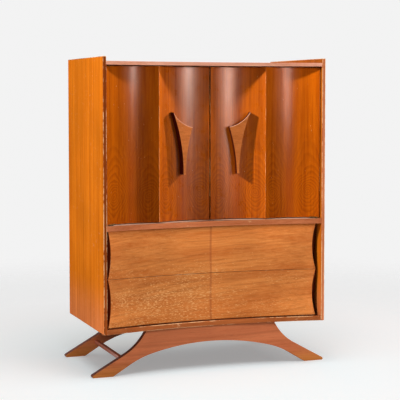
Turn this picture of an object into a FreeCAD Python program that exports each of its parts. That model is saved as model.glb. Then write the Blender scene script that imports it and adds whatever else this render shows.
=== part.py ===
import FreeCAD, Part
import math
import os
import re
import Sketcher

# A highboy: two fluted doors over two wide drawers, in a case with a hollow front,
# carried on two arched leg boards. Millimetres; X to the viewer's right, Y to the back,
# Z up, with the origin on the floor below the middle of the case.

DRIVING = {
    # Case
    "case_width": (960, "case, outside the side panels"),
    "case_depth": (540, "case, front corners to back"),
    "case_base": (183, "floor to the underside of the case"),
    "case_top": (1280, "floor to the tops of the side panels"),
    "front_sag": (53, "how far the front edges hollow in at the middle"),
    "side_thick": (14, "side panels"),
    "top_thick": (14.5, "top panel"),
    "top_drop": (18.5, "top panel below the tops of the sides"),
    "divider_base": (593, "floor to the underside of the divider"),
    "divider_thick": (21, "divider between doors and drawers"),
    "bottom_thick": (20, "bottom panel"),
    "back_thick": (6, "back panel"),
    "tongue": (5, "panel tongues let into the sides"),
    "tongue_high": (8, "thickness of the tongues, in the middle of the panels"),
    "tongue_stop": (30, "front corners to the start of the tongues"),
    "shelf_thick": (18, "shelves"),
    "shelf_setback": (118, "front curve to the shelves' front edges"),
    "shelf_play": (1, "shelf ends to the side panels"),
    "peg_bore": (5, "shelf pin diameter"),
    "peg_fit": (0.05, "radial play of a shelf pin in its hole"),
    "peg_depth": (8, "shelf pin inside the side panel"),
    "peg_reach": (10, "shelf pin under the shelf"),
    "peg_inset": (60, "shelf pins from the back and the shelf's front corners"),
    # Doors
    "door_inset": (10, "front curve to the outer ridges of the doors"),
    "door_turn": (9.4, "degrees, doors turned in towards the middle"),
    "door_gap": (3, "above and below the doors"),
    "door_side_gap": (4, "doors to the side panels"),
    "door_middle_gap": (5, "between the doors"),
    "flute_depth": (30, "hollow of a flute below its two ridges"),
    "door_skin": (16, "fluted panel thickness"),
    "door_frame": (60, "ridges to the back of the door frame"),
    "door_rail": (30, "height of a door rail"),
    "door_stile": (22, "width of a door stile"),
    "door_bevel": (15, "degrees, bevel of the meeting edges"),
    # Knife hinges
    "pivot_edge": (6, "door's outer edge to the pivot"),
    "pivot_back": (4, "outer ridge to the pivot"),
    "leaf_length": (36, "hinge leaf, pivot to far end"),
    "leaf_width": (10, "hinge leaf"),
    "leaf_thick": (3, "hinge leaf"),
    "leaf_nose": (5.6, "radius of a leaf's round end"),
    "leaf_angle": (34, "degrees, leaf against the case width"),
    "pivot_pin": (5, "hinge pin diameter"),
    "pivot_fit": (0.05, "radial play of the hinge pin"),
    "pivot_collar": (9, "collar between the leaves"),
    "collar_play": (0.4, "collar to the door's leaf"),
    # Door stop and catches
    "stop_width": (180, "door stop"),
    "stop_deep": (18, "door stop"),
    "stop_high": (22, "door stop"),
    "stop_play": (3.8, "door stop behind the meeting corner of the doors"),
    "catch_x": (46, "catches from the middle"),
    "catch_wide": (24, "catch magnet and strike plate"),
    "catch_high": (12, "catch magnet and strike plate"),
    "catch_proud": (4, "magnet in front of the stop"),
    "strike_thick": (1.5, "strike plate"),
    # Handles, measured from the middle of the inner flute
    "handle_proud": (0.5, "handle face in front of the ridges"),
    "handle_high_x": (51.5, "high corner, towards the case side"),
    "handle_high_z": (1059, "high corner above the floor"),
    "handle_low_x": (36.5, "low corner, towards the other door"),
    "handle_low_z": (998, "low corner above the floor"),
    "handle_foot_z": (806, "foot above the floor"),
    "handle_foot": (10, "width of the foot"),
    "handle_top_radius": (129, "hollow of the top edge"),
    "handle_outer_radius": (644, "hollow of the outer edge"),
    "handle_inner_radius": (727, "hollow of the inner edge"),
    # Drawers
    "drawer_gap": (1.6, "above, between and below the drawer fronts"),
    "drawer_inset": (24, "front curve to the ridges of the drawer fronts"),
    "drawer_side_gap": (12.5, "drawer front corners to the side panels"),
    "drawer_thick": (28, "drawer front at its ridges"),
    "scoop_depth": (5, "hollow of a drawer front between its ridges"),
    "scallop_depth": (13, "finger scallop in the end of a drawer front"),
    "box_thick": (14, "drawer sides and back"),
    "box_high": (150, "drawer sides"),
    "box_lift": (12, "drawer front's lower edge to the drawer sides"),
    "box_back": (238, "back of the drawer, behind the middle of the case"),
    "ply_thick": (6, "drawer bottom"),
    "ply_lift": (10, "drawer bottom above the lower edge of the sides"),
    "ply_groove": (5, "groove for the drawer bottom"),
    "muntin_wide": (40, "strip under the drawer bottom"),
    "runner_board": (26, "board between case side and drawer"),
    "runner_front": (-160, "front of the runner boards"),
    "runner_high": (20, "drawer runner"),
    "runner_proud": (8, "drawer runner out of its board"),
    "runner_lift": (65, "runner groove above the lower edge of the sides"),
    "runner_play": (0.4, "drawer groove round its runner"),
    "drawer_play": (1, "drawer side to runner board"),
    # Base
    "base_width": (1018, "over the toes"),
    "leg_thick": (28, "leg boards"),
    "front_leg": (70, "front corners to the front leg board"),
    "rear_leg": (496, "front corners to the rear leg board"),
    "arch_high": (116.5, "middle of the arch above the floor"),
    "arch_radius": (1000, "middle of the arch"),
    "heel_x": (423, "heel from the middle"),
    "heel_run": (85, "straight stretch above the heel"),
    "heel_angle": (31, "degrees, slope above the heel"),
    "toe_round": (6, "radius of a toe"),
    "toe_run": (152.4, "straight stretch above the toe"),
    "toe_angle": (29, "degrees, slope above the toe"),
    "calf_radius": (223, "hollow between the toe and the case"),
    "stretcher_x": (372, "stretchers from the middle"),
    "stretcher_wide": (20, "stretchers"),
    "stretcher_high": (25, "stretchers"),
    "stretcher_top": (72, "top of the stretchers above the floor"),
    "tenon": (12, "diameter of a stretcher's tenon"),
    "tenon_long": (14, "length of a stretcher's tenon"),
    "tenon_fit": (0.05, "radial play of a tenon"),
}

DERIVED = {
    # The front edges share one circle, its centre in front of the case.
    "front_plane": "-case_depth / 2",
    "rear_plane": "case_depth / 2",
    "front_radius": "(case_width^2 / 4 + front_sag^2) / (2 * front_sag)",
    "curve_centre": "front_plane + front_sag - front_radius",
    "inner": "case_width / 2 - side_thick",
    "top_under": "case_top - top_drop - top_thick",
    "divider_top": "divider_base + divider_thick",
    "bottom_top": "case_base + bottom_thick",
    "shelf_radius": "front_radius + shelf_setback",
    "shelf_half": "inner - shelf_play",
    "shelf_corner": "curve_centre + sqrt(shelf_radius^2 - shelf_half^2)",
    "shelf_step": "(top_under - divider_top - 2 * shelf_thick) / 3",
    # Left door: three ridges in one straight line, a round flute between each two of them.
    "door_base": "divider_top + door_gap",
    "door_top": "top_under - door_gap",
    "outer_x": "-(inner - door_side_gap)",
    "outer_y": "curve_centre + sqrt((front_radius + door_inset)^2 - outer_x^2)",
    "meet_x": "-door_middle_gap / 2",
    "step_x": "(meet_x - outer_x) / 2",
    "step_y": "step_x * tan(door_turn)",
    "mid_x": "outer_x + step_x",
    "mid_y": "outer_y + step_y",
    "meet_y": "mid_y + step_y",
    "flute_chord": "step_x / cos(door_turn)",
    "flute_radius": "(flute_chord^2 / 4 + flute_depth^2) / (2 * flute_depth)",
    "outer_cx": "outer_x + step_x / 2 + sin(door_turn) * (flute_radius - flute_depth)",
    "outer_cy": "outer_y + step_y / 2 - cos(door_turn) * (flute_radius - flute_depth)",
    "inner_cx": "outer_cx + step_x",
    "inner_cy": "outer_cy + step_y",
    # Back of the fluted panel: the same two arcs, a skin further out, meeting in a valley.
    "back_radius": "flute_radius + door_skin",
    "valley_deep": "sqrt(back_radius^2 - flute_chord^2 / 4)",
    "valley_x": "outer_cx + step_x / 2 - sin(door_turn) * valley_deep",
    "valley_y": "outer_cy + step_y / 2 + cos(door_turn) * valley_deep",
    "skin_outer_y": "outer_cy + sqrt(back_radius^2 - (outer_x - outer_cx)^2)",
    # Meeting edge: a straight bevel from the last ridge to the back of the frame.
    "bevel": "tan(door_bevel)",
    "meet_dx": "meet_x - inner_cx",
    "meet_dy": "meet_y - inner_cy",
    "meet_half": "meet_dy - bevel * meet_dx",
    "meet_rest": "(1 + bevel^2) * (meet_dx^2 + meet_dy^2 - back_radius^2)",
    "meet_deep": "(sqrt(meet_half^2 - meet_rest) - meet_half) / (1 + bevel^2)",
    "skin_meet_x": "meet_x - bevel * meet_deep",
    "skin_meet_y": "meet_y + meet_deep",
    "frame_outer_y": "outer_y + door_frame",
    "frame_meet_x": "meet_x - bevel * door_frame",
    "frame_meet_y": "meet_y + door_frame",
    "frame_slope": "(frame_meet_y - frame_outer_y) / (frame_meet_x - outer_x)",
    "hinge_stile_x": "outer_x + door_stile",
    "hinge_stile_y": "outer_cy + sqrt(back_radius^2 - (hinge_stile_x - outer_cx)^2)",
    "meet_stile_x": "skin_meet_x - door_stile",
    "meet_stile_y": "inner_cy + sqrt(back_radius^2 - (meet_stile_x - inner_cx)^2)",
    "pivot_x": "outer_x + pivot_edge",
    "pivot_y": "outer_y + pivot_back",
    "stop_front": "frame_meet_y + stop_play",
    # Drawers: radii from the front curve's centre.
    "drawer_high": "(divider_base - bottom_top - 3 * drawer_gap) / 2",
    "drawer_radius": "front_radius + drawer_inset",
    "drawer_back_radius": "drawer_radius + drawer_thick",
    "drawer_half": "inner - drawer_side_gap",
    "drawer_sweep": "2 * asin((inner + side_thick) / drawer_radius)",
    "scallop_radius": "(drawer_high^2 / 4 + scallop_depth^2) / (2 * scallop_depth)",
    "scoop_radius": "(drawer_high^2 / 4 + scoop_depth^2) / (2 * scoop_depth)",
    "box_half": "inner - runner_board - drawer_play",
    "box_rear": "box_back - curve_centre",
    "ply_base": "box_lift + ply_lift",
    "ply_radius": "drawer_back_radius - ply_groove",
    "ply_half": "box_half - box_thick + ply_groove",
    "runner_base": "box_lift + runner_lift",
    # Leg boards: the arch is three arcs and two straight stretches, all tangent.
    "heel_top_x": "heel_x - heel_run * cos(heel_angle)",
    "heel_top_z": "heel_run * sin(heel_angle)",
    "arch_centre": "arch_high - arch_radius",
    "arch_rise": "heel_top_z - arch_centre",
    "arch_spare": "arch_radius - heel_top_x * sin(heel_angle) - arch_rise * cos(heel_angle)",
    "shoulder_radius": "(arch_radius^2 - heel_top_x^2 - arch_rise^2) / (2 * arch_spare)",
    "arch_share": "arch_radius / (arch_radius - shoulder_radius)",
    "arch_end_x": "(heel_top_x - shoulder_radius * sin(heel_angle)) * arch_share",
    "arch_end_z": "arch_centre + (arch_rise - shoulder_radius * cos(heel_angle)) * arch_share",
    "toe_x": "base_width / 2 - toe_round",
    "toe_top_x": "toe_x + toe_round * sin(toe_angle)",
    "toe_top_z": "toe_round + toe_round * cos(toe_angle)",
    "calf_x": "toe_top_x - toe_run * cos(toe_angle)",
    "calf_z": "toe_top_z + toe_run * sin(toe_angle)",
    "calf_rise": "calf_z + calf_radius * cos(toe_angle) - case_base",
    "leg_top_x": "calf_x + calf_radius * sin(toe_angle) - sqrt(calf_radius^2 - calf_rise^2)",
    "stretcher_front": "front_plane + front_leg + leg_thick",
    "stretcher_long": "rear_leg - front_leg - leg_thick",
    "stretcher_z": "stretcher_top - stretcher_high / 2",
}

LEFT_OF_TRAVEL = 1
RIGHT_OF_TRAVEL = -1
HOMES = {name: "dims" for name in DRIVING} | {name: "form" for name in DERIVED}

doc = FreeCAD.newDocument("highboy")
sheet = doc.addObject("Spreadsheet::Sheet", "dims")
form = doc.addObject("App::VarSet", "form")
nodes = []


def full(expression):
    """Gives each dimension named in an expression the object that holds it."""
    def home(match):
        word = match.group(0)
        return f"{HOMES[word]}.{word}" if word in HOMES else word
    return re.sub(r"[a-z_]+", home, str(expression))


def value(expression):
    """Works out an expression."""
    return float(sheet.evalExpression(full(expression)))


def bind(item, path, expression):
    """Binds a size of a document object to an expression."""
    item.setExpression(path, full(expression))


def fill_dimensions():
    """Writes the driving dimensions to the sheet and binds the derived ones to them."""
    for row, (name, (number, meaning)) in enumerate(DRIVING.items(), start=1):
        sheet.set(f"A{row}", meaning)
        sheet.set(f"B{row}", str(number))
        sheet.setAlias(f"B{row}", name)
    doc.recompute()
    for name, expression in DERIVED.items():
        form.addProperty("App::PropertyFloat", name, "Derived")
        bind(form, name, expression)
        doc.recompute()


def place(item, x=0, y=0, z=0):
    """Binds the place of a document object."""
    for axis, expression in zip("xyz", (x, y, z)):
        bind(item, f"Placement.Base.{axis}", expression)


def turn_about_z(item, degrees):
    """Binds the turn of a document object about the vertical."""
    item.Placement.Rotation = FreeCAD.Rotation(FreeCAD.Vector(0, 0, 1), 1)
    bind(item, "Placement.Rotation.Angle", degrees)


def keep(item, label):
    """Names a document object as a sub-part of the highboy."""
    item.Label = label
    nodes.append(item)
    return item


def new_body(label):
    """Starts a body."""
    body = doc.addObject("PartDesign::Body", label)
    body.Label = label
    return body


def origin_feature(body, role):
    """Finds a plane or axis of a body's own origin."""
    return next(item for item in body.Origin.OriginFeatures if item.Role == role)


def new_sketch(body, role, offset=0):
    """Adds a sketch on one of a body's planes, moved along the plane's normal."""
    sketch = body.newObject("Sketcher::SketchObject", "sketch")
    sketch.AttachmentSupport = [(origin_feature(body, role), "")]
    sketch.MapMode = "FlatFace"
    bind(sketch, "AttachmentOffset.Base.z", offset)
    return sketch


def constrain(sketch, kind, *where, size):
    """Adds a dimension to a sketch and binds it."""
    number = sketch.addConstraint(Sketcher.Constraint(kind, *where, value(size)))
    name = f"size_{number}"
    sketch.renameConstraint(number, name)
    bind(sketch, f"Constraints.{name}", size)


def arc_between(start, end, radius, side):
    """Makes the short arc from start to end, with its centre on one side of the way."""
    chord = end - start
    across = FreeCAD.Vector(-chord.y, chord.x, 0).normalize() * side
    centre = (start + end) * 0.5 + across * math.sqrt(radius**2 - chord.Length**2 / 4)
    first, last = (start, end) if side == LEFT_OF_TRAVEL else (end, start)
    angles = [math.atan2(point.y - centre.y, point.x - centre.x) for point in (first, last)]
    return Part.ArcOfCircle(Part.Circle(centre, FreeCAD.Vector(0, 0, 1), radius), *angles)


def draw_outline(sketch, corners):
    """Draws a closed outline: each corner is (x, y), or (x, y, radius, side) before an arc."""
    spots = [FreeCAD.Vector(value(corner[0]), value(corner[1]), 0) for corner in corners]
    edges = []
    for index, corner in enumerate(corners):
        start, end = spots[index], spots[(index + 1) % len(spots)]
        if len(corner) == 2:
            edges.append((sketch.addGeometry(Part.LineSegment(start, end)), 1, 2))
            continue
        radius, side = corner[2:]
        edge = sketch.addGeometry(arc_between(start, end, value(radius), side))
        edges.append((edge, 1, 2) if side == LEFT_OF_TRAVEL else (edge, 2, 1))
    for index, (edge, start, end) in enumerate(edges):
        following, next_start, _ = edges[(index + 1) % len(edges)]
        sketch.addConstraint(Sketcher.Constraint("Coincident", edge, end, following, next_start))
    for (edge, start, _), corner in zip(edges, corners):
        constrain(sketch, "DistanceX", -1, 1, edge, start, size=corner[0])
        constrain(sketch, "DistanceY", -1, 1, edge, start, size=corner[1])
        if len(corner) > 2:
            constrain(sketch, "Radius", edge, size=corner[2])


def draw_rectangle(sketch, left, low, right, high):
    """Draws an upright rectangle."""
    draw_outline(sketch, [(left, low), (right, low), (right, high), (left, high)])


def draw_circle(sketch, x, y, diameter):
    """Draws a circle."""
    middle = FreeCAD.Vector(value(x), value(y), 0)
    radius = f"({diameter}) / 2"
    circle = sketch.addGeometry(Part.Circle(middle, FreeCAD.Vector(0, 0, 1), value(radius)))
    constrain(sketch, "DistanceX", -1, 1, circle, 3, size=x)
    constrain(sketch, "DistanceY", -1, 1, circle, 3, size=y)
    constrain(sketch, "Radius", circle, size=radius)


def pad(body, sketch, length, back=False):
    """Raises a sketch by a length, along its normal or back from it."""
    feature = body.newObject("PartDesign::Pad", "pad")
    feature.Profile = sketch
    feature.Reversed = back
    bind(feature, "Length", length)
    doc.recompute()


def pocket(body, sketch, length=None, forward=False):
    """Cuts a sketch into the body, against its normal or forward along it, and checks that it cut."""
    before = body.Shape.Volume
    feature = body.newObject("PartDesign::Pocket", "pocket")
    feature.Profile = sketch
    feature.Reversed = forward
    if length is None:
        feature.Type = "ThroughAll"
    else:
        bind(feature, "Length", length)
    doc.recompute()
    if body.Shape.Volume >= before:
        raise RuntimeError(f"{body.Label}: a pocket cuts nothing")


def box(label, low, high):
    """Makes a plain board from its low corner to its high corner."""
    board = doc.addObject("Part::Box", label)
    for size, first, last in zip(("Length", "Width", "Height"), low, high):
        bind(board, size, f"({last}) - ({first})")
    place(board, *low)
    board.Label = label
    return board


def mirrored(item, label, normal=(1, 0, 0), level=0):
    """Mirrors a document object in an upright middle plane, or in a level plane."""
    copy = doc.addObject("Part::Mirroring", label)
    copy.Source = item
    copy.Normal = FreeCAD.Vector(*normal)
    bind(copy, "Base.z", level)
    copy.Label = label
    doc.recompute()
    return copy


def group(label, items):
    """Gathers equal pieces in one node as separate solids."""
    together = doc.addObject("Part::Compound", label)
    together.Links = items
    return keep(together, label)


def keep_pair(item, name):
    """Keeps a left-hand piece and its mirror image."""
    keep(item, f"left_{name}")
    keep(mirrored(item, f"right_{name}"), f"right_{name}")


def leaf_corners():
    """Outline of a hinge leaf: a round nose about the pivot and a straight tail into the door."""
    along = ("cos(leaf_angle)", "sin(leaf_angle)")
    low_side = (f"pivot_x + leaf_width / 2 * {along[1]}", f"pivot_y - leaf_width / 2 * {along[0]}")
    high_side = (f"pivot_x - leaf_width / 2 * {along[1]}", f"pivot_y + leaf_width / 2 * {along[0]}")
    tail = [f"leaf_length * {part}" for part in along]
    return [
        low_side,
        (f"{low_side[0]} + {tail[0]}", f"{low_side[1]} + {tail[1]}"),
        (f"{high_side[0]} + {tail[0]}", f"{high_side[1]} + {tail[1]}"),
        (*high_side, "leaf_nose", LEFT_OF_TRAVEL),
    ]


def mirror_corners(corners):
    """Mirrors an outline left to right, with its way round kept."""
    turned = []
    for index in range(len(corners) - 1, -1, -1):
        x, y = corners[index][:2]
        turned.append((f"-({x})", y, *corners[index - 1][2:]))
    return turned


def side_panels():
    """Side boards: housings for the three panels, a rebate for the back and shelf pin holes."""
    body = new_body("left_side_panel")
    place(body, x="-case_width / 2")
    sketch = new_sketch(body, "YZ_Plane")
    draw_rectangle(sketch, "front_plane", "case_base", "rear_plane", "case_top")
    pad(body, sketch, "side_thick")

    housings = new_sketch(body, "YZ_Plane", "side_thick - tongue")
    start = "front_plane + tongue_stop"
    panels = (("top_under", "top_thick"), ("divider_base", "divider_thick"), ("case_base", "bottom_thick"))
    for base, thick in panels:
        low = f"{base} + ({thick} - tongue_high) / 2"
        draw_rectangle(housings, start, low, "rear_plane", f"{low} + tongue_high")
    pocket(body, housings, "tongue", forward=True)

    rebate = new_sketch(body, "YZ_Plane", "side_thick - tongue")
    draw_rectangle(rebate, "rear_plane - back_thick", "case_base", "rear_plane", "top_under")
    pocket(body, rebate, "tongue", forward=True)

    holes = new_sketch(body, "YZ_Plane", "side_thick - peg_depth")
    for y, z in peg_places():
        draw_circle(holes, y, z, "peg_bore + 2 * peg_fit")
    pocket(body, holes, "peg_depth", forward=True)
    keep_pair(body, "side_panel")


def plan_board(label, base, thick, rear):
    """Level panel with the hollow front edge and a tongue at each end."""
    body = new_body(label)
    place(body, z=base)
    front = "curve_centre + sqrt(front_radius^2 - inner^2)"
    start = "front_plane + tongue_stop"
    sketch = new_sketch(body, "XY_Plane")
    draw_outline(sketch, [
        ("-inner", front, "front_radius", RIGHT_OF_TRAVEL),
        ("inner", front),
        ("inner", rear),
        ("-inner", rear),
    ])
    pad(body, sketch, thick)
    tongues = new_sketch(body, "XY_Plane", f"({thick} - tongue_high) / 2")
    draw_rectangle(tongues, "-inner - tongue", start, "-inner", rear)
    draw_rectangle(tongues, "inner", start, "inner + tongue", rear)
    pad(body, tongues, "tongue_high")
    return keep(body, label)


def let_in_leaves(body, offset, forward):
    """Cuts the recesses for the case leaves of a left and a right hinge."""
    sketch = new_sketch(body, "XY_Plane", offset)
    draw_outline(sketch, leaf_corners())
    draw_outline(sketch, mirror_corners(leaf_corners()))
    pocket(body, sketch, "leaf_thick", forward)


def case_panels():
    """Top, divider, bottom and back."""
    covered = "rear_plane - back_thick"
    top = plan_board("top_panel", "top_under", "top_thick", "rear_plane")
    let_in_leaves(top, "leaf_thick", forward=False)
    divider = plan_board("middle_divider", "divider_base", "divider_thick", covered)
    let_in_leaves(divider, "divider_thick - leaf_thick", forward=True)
    plan_board("bottom_panel", "case_base", "bottom_thick", covered)
    reach = "inner + tongue"
    back = box("back_panel", (f"-({reach})", covered, "case_base"), (reach, "rear_plane", "top_under"))
    keep(back, "back_panel")


def shelf_base(number):
    """Height of the underside of a shelf, counted from the divider."""
    return f"divider_top + {number} * shelf_step + {number - 1} * shelf_thick"


def peg_places():
    """Places of the shelf pins on a side panel."""
    rows = ("shelf_corner + peg_inset", "rear_plane - peg_inset")
    return [(y, f"{shelf_base(number)} - peg_bore / 2") for number in (1, 2) for y in rows]


def shelves():
    """Two shelves behind the doors, each on four pins."""
    for number, label in ((1, "lower_shelf"), (2, "upper_shelf")):
        body = new_body(label)
        place(body, z=shelf_base(number))
        sketch = new_sketch(body, "XY_Plane")
        draw_outline(sketch, [
            ("-shelf_half", "shelf_corner", "shelf_radius", RIGHT_OF_TRAVEL),
            ("shelf_half", "shelf_corner"),
            ("shelf_half", "rear_plane - back_thick - shelf_play"),
            ("-shelf_half", "rear_plane - back_thick - shelf_play"),
        ])
        pad(body, sketch, "shelf_thick")
        keep(body, label)
    pegs = []
    for start in ("-inner - peg_depth", "inner - peg_reach"):
        for y, z in peg_places():
            peg = doc.addObject("Part::Cylinder", "peg")
            bind(peg, "Radius", "peg_bore / 2")
            bind(peg, "Height", "peg_depth + peg_reach")
            peg.Placement.Rotation = FreeCAD.Rotation(FreeCAD.Vector(0, 1, 0), 90)
            place(peg, start, y, z)
            pegs.append(peg)
    group("shelf_pins", pegs)


def door_panel():
    """Fluted panel: two round hollows between sharp ridges, bent from one thickness of ply."""
    body = new_body("left_door_panel")
    sketch = new_sketch(body, "XY_Plane", "door_base")
    draw_outline(sketch, [
        ("outer_x", "outer_y", "flute_radius", RIGHT_OF_TRAVEL),
        ("mid_x", "mid_y", "flute_radius", RIGHT_OF_TRAVEL),
        ("meet_x", "meet_y"),
        ("skin_meet_x", "skin_meet_y", "back_radius", LEFT_OF_TRAVEL),
        ("valley_x", "valley_y", "back_radius", LEFT_OF_TRAVEL),
        ("outer_x", "skin_outer_y"),
    ])
    pad(body, sketch, "door_top - door_base")
    for offset, forward in (("door_top - leaf_thick", True), ("door_base + leaf_thick", False)):
        recess = new_sketch(body, "XY_Plane", offset)
        draw_outline(recess, leaf_corners())
        pocket(body, recess, "leaf_thick", forward)
    keep_pair(body, "door_panel")


def frame_back_y(x):
    """Back of the door frame at a place across the door."""
    return f"frame_outer_y + frame_slope * ({x} - outer_x)"


def door_frame():
    """Rails and stiles behind a fluted panel, cut to its waves."""
    rail = [
        ("outer_x", "skin_outer_y", "back_radius", RIGHT_OF_TRAVEL),
        ("valley_x", "valley_y", "back_radius", RIGHT_OF_TRAVEL),
        ("skin_meet_x", "skin_meet_y"),
        ("frame_meet_x", "frame_meet_y"),
        ("outer_x", "frame_outer_y"),
    ]
    hinge_stile = [
        ("outer_x", "skin_outer_y", "back_radius", RIGHT_OF_TRAVEL),
        ("hinge_stile_x", "hinge_stile_y"),
        ("hinge_stile_x", frame_back_y("hinge_stile_x")),
        ("outer_x", "frame_outer_y"),
    ]
    meeting_stile = [
        ("meet_stile_x", "meet_stile_y", "back_radius", RIGHT_OF_TRAVEL),
        ("skin_meet_x", "skin_meet_y"),
        ("frame_meet_x", "frame_meet_y"),
        ("meet_stile_x", frame_back_y("meet_stile_x")),
    ]
    low, high = "door_base + door_rail", "door_top - door_rail"
    for name, corners, base, top in (
        ("door_top_rail", rail, high, "door_top"),
        ("door_bottom_rail", rail, "door_base", low),
        ("door_hinge_stile", hinge_stile, low, high),
        ("door_meeting_stile", meeting_stile, low, high),
    ):
        body = new_body(f"left_{name}")
        sketch = new_sketch(body, "XY_Plane", base)
        draw_outline(sketch, corners)
        pad(body, sketch, f"({top}) - ({base})")
        keep_pair(body, name)


def handles():
    """Three-cornered handles with hollow edges, standing in the inner flutes."""
    body = new_body("left_handle")
    place(body, "(mid_x + meet_x) / 2", "(mid_y + meet_y) / 2")
    turn_about_z(body, "door_turn")
    face = new_sketch(body, "XZ_Plane", "handle_proud")
    draw_outline(face, [
        ("-handle_foot / 2", "handle_foot_z"),
        ("handle_foot / 2", "handle_foot_z", "handle_inner_radius", RIGHT_OF_TRAVEL),
        ("handle_low_x", "handle_low_z", "handle_top_radius", RIGHT_OF_TRAVEL),
        ("-handle_high_x", "handle_high_z", "handle_outer_radius", RIGHT_OF_TRAVEL),
    ])
    pad(body, face, "handle_proud + flute_depth", back=True)
    seat = new_sketch(body, "XY_Plane", "handle_high_z")
    half = "flute_chord / 2"
    draw_outline(seat, [
        (f"-{half}", 0, "flute_radius", RIGHT_OF_TRAVEL),
        (half, 0),
        (half, "2 * flute_depth"),
        (f"-{half}", "2 * flute_depth"),
    ])
    pocket(body, seat)
    keep_pair(body, "handle")


def hinges():
    """Knife hinges: a case leaf with collar and pin, and a door leaf with the hole for it."""
    leaf = new_body("left_case_leaf")
    plate = new_sketch(leaf, "XY_Plane", "top_under")
    draw_outline(plate, leaf_corners())
    pad(leaf, plate, "leaf_thick")
    collar = ("pivot_collar", "door_gap - collar_play")
    pin = ("pivot_pin", "door_gap + leaf_thick")
    for diameter, drop in (collar, pin):
        round_part = new_sketch(leaf, "XY_Plane", "top_under")
        draw_circle(round_part, "pivot_x", "pivot_y", diameter)
        pad(leaf, round_part, drop, back=True)

    door_leaf = new_body("left_door_leaf")
    plate = new_sketch(door_leaf, "XY_Plane", "door_top - leaf_thick")
    draw_outline(plate, leaf_corners())
    draw_circle(plate, "pivot_x", "pivot_y", "pivot_pin + 2 * pivot_fit")
    pad(door_leaf, plate, "leaf_thick")

    middle = "(door_base + door_top) / 2"
    for upper, name in ((leaf, "hinge_case_leaves"), (door_leaf, "hinge_door_leaves")):
        lower = mirrored(upper, f"{upper.Name}_below", (0, 0, 1), middle)
        pair = group(f"left_{name}", [upper, lower])
        keep(mirrored(pair, f"right_{name}"), f"right_{name}")


def door_catches():
    """Door stop under the top panel with two magnets, and a strike plate on each door."""
    rear = "stop_front + stop_deep"
    base = "top_under - stop_high"
    stop = box("door_stop", ("-stop_width / 2", "stop_front", base), ("stop_width / 2", rear, "top_under"))
    keep(stop, "door_stop")

    middle = "top_under - stop_high / 2"
    low = ("-catch_x - catch_wide / 2", "stop_front - catch_proud", f"{middle} - catch_high / 2")
    high = ("-catch_x + catch_wide / 2", "stop_front", f"{middle} + catch_high / 2")
    magnet = box("left_magnet", low, high)
    group("catch_magnets", [magnet, mirrored(magnet, "right_magnet")])

    strike = new_body("left_strike_plate")
    place(strike, "-catch_x", frame_back_y("-catch_x"), middle)
    turn_about_z(strike, "atan(frame_slope)")
    face = new_sketch(strike, "XZ_Plane")
    draw_rectangle(face, "-catch_wide / 2", "-catch_high / 2", "catch_wide / 2", "catch_high / 2")
    pad(strike, face, "strike_thick", back=True)
    keep_pair(strike, "strike_plate")


def drawer_bases():
    """Heights of the lower edges of the drawer fronts."""
    lower = "bottom_top + drawer_gap"
    return {"lower": lower, "upper": f"{lower} + drawer_high + drawer_gap"}


def drawer_front(name, base):
    """Drawer front: a scooped section swept round the front curve, with scalloped ends."""
    body = new_body(f"{name}_drawer_front")
    place(body, y="curve_centre", z=base)
    section = new_sketch(body, "YZ_Plane")
    draw_outline(section, [
        ("drawer_radius", 0),
        ("drawer_back_radius", 0),
        ("drawer_back_radius", "ply_base"),
        ("ply_radius", "ply_base"),
        ("ply_radius", "ply_base + ply_thick"),
        ("drawer_back_radius", "ply_base + ply_thick"),
        ("drawer_back_radius", "drawer_high"),
        ("drawer_radius", "drawer_high", "scoop_radius", RIGHT_OF_TRAVEL),
    ])
    sweep = body.newObject("PartDesign::Revolution", "sweep")
    sweep.Profile = section
    sweep.ReferenceAxis = (origin_feature(body, "Z_Axis"), [""])
    sweep.Midplane = True
    bind(sweep, "Angle", "drawer_sweep")
    doc.recompute()

    ends = new_sketch(body, "XZ_Plane")
    spare = "(inner + 3 * side_thick)"
    right_end = [
        ("drawer_half", 0),
        ("drawer_half", "-drawer_gap"),
        (spare, "-drawer_gap"),
        (spare, "drawer_high + drawer_gap"),
        ("drawer_half", "drawer_high + drawer_gap"),
        ("drawer_half", "drawer_high", "scallop_radius", LEFT_OF_TRAVEL),
    ]
    draw_outline(ends, right_end)
    draw_outline(ends, mirror_corners(right_end))
    pocket(body, ends)
    keep(body, f"{name}_drawer_front")


def drawer_side(name, base):
    """Drawer side, butted to the curved front, grooved for its runner and for the bottom."""
    inside = "box_half - box_thick"
    body = new_body(f"{name}_drawer_left_side")
    place(body, y="curve_centre", z=base)
    plan = new_sketch(body, "XY_Plane", "box_lift")
    draw_outline(plan, [
        ("-box_half", "sqrt(drawer_back_radius^2 - box_half^2)", "drawer_back_radius", RIGHT_OF_TRAVEL),
        (f"-({inside})", f"sqrt(drawer_back_radius^2 - ({inside})^2)"),
        (f"-({inside})", "box_rear"),
        ("-box_half", "box_rear"),
    ])
    pad(body, plan, "box_high")

    groove = new_sketch(body, "YZ_Plane", "-box_half")
    start = "runner_front - drawer_play - curve_centre"
    draw_rectangle(groove, start, "runner_base", "box_rear", "runner_base + runner_high + 2 * runner_play")
    pocket(body, groove, "runner_proud", forward=True)

    rebate = new_sketch(body, "YZ_Plane", f"-({inside})")
    ridge = "sqrt(drawer_radius^2 - box_half^2)"
    draw_rectangle(rebate, ridge, "ply_base", "box_rear", "ply_base + ply_thick")
    pocket(body, rebate, "ply_groove")
    keep(body, f"{name}_drawer_left_side")
    right = f"{name}_drawer_right_side"
    keep(mirrored(body, right), right)


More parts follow.
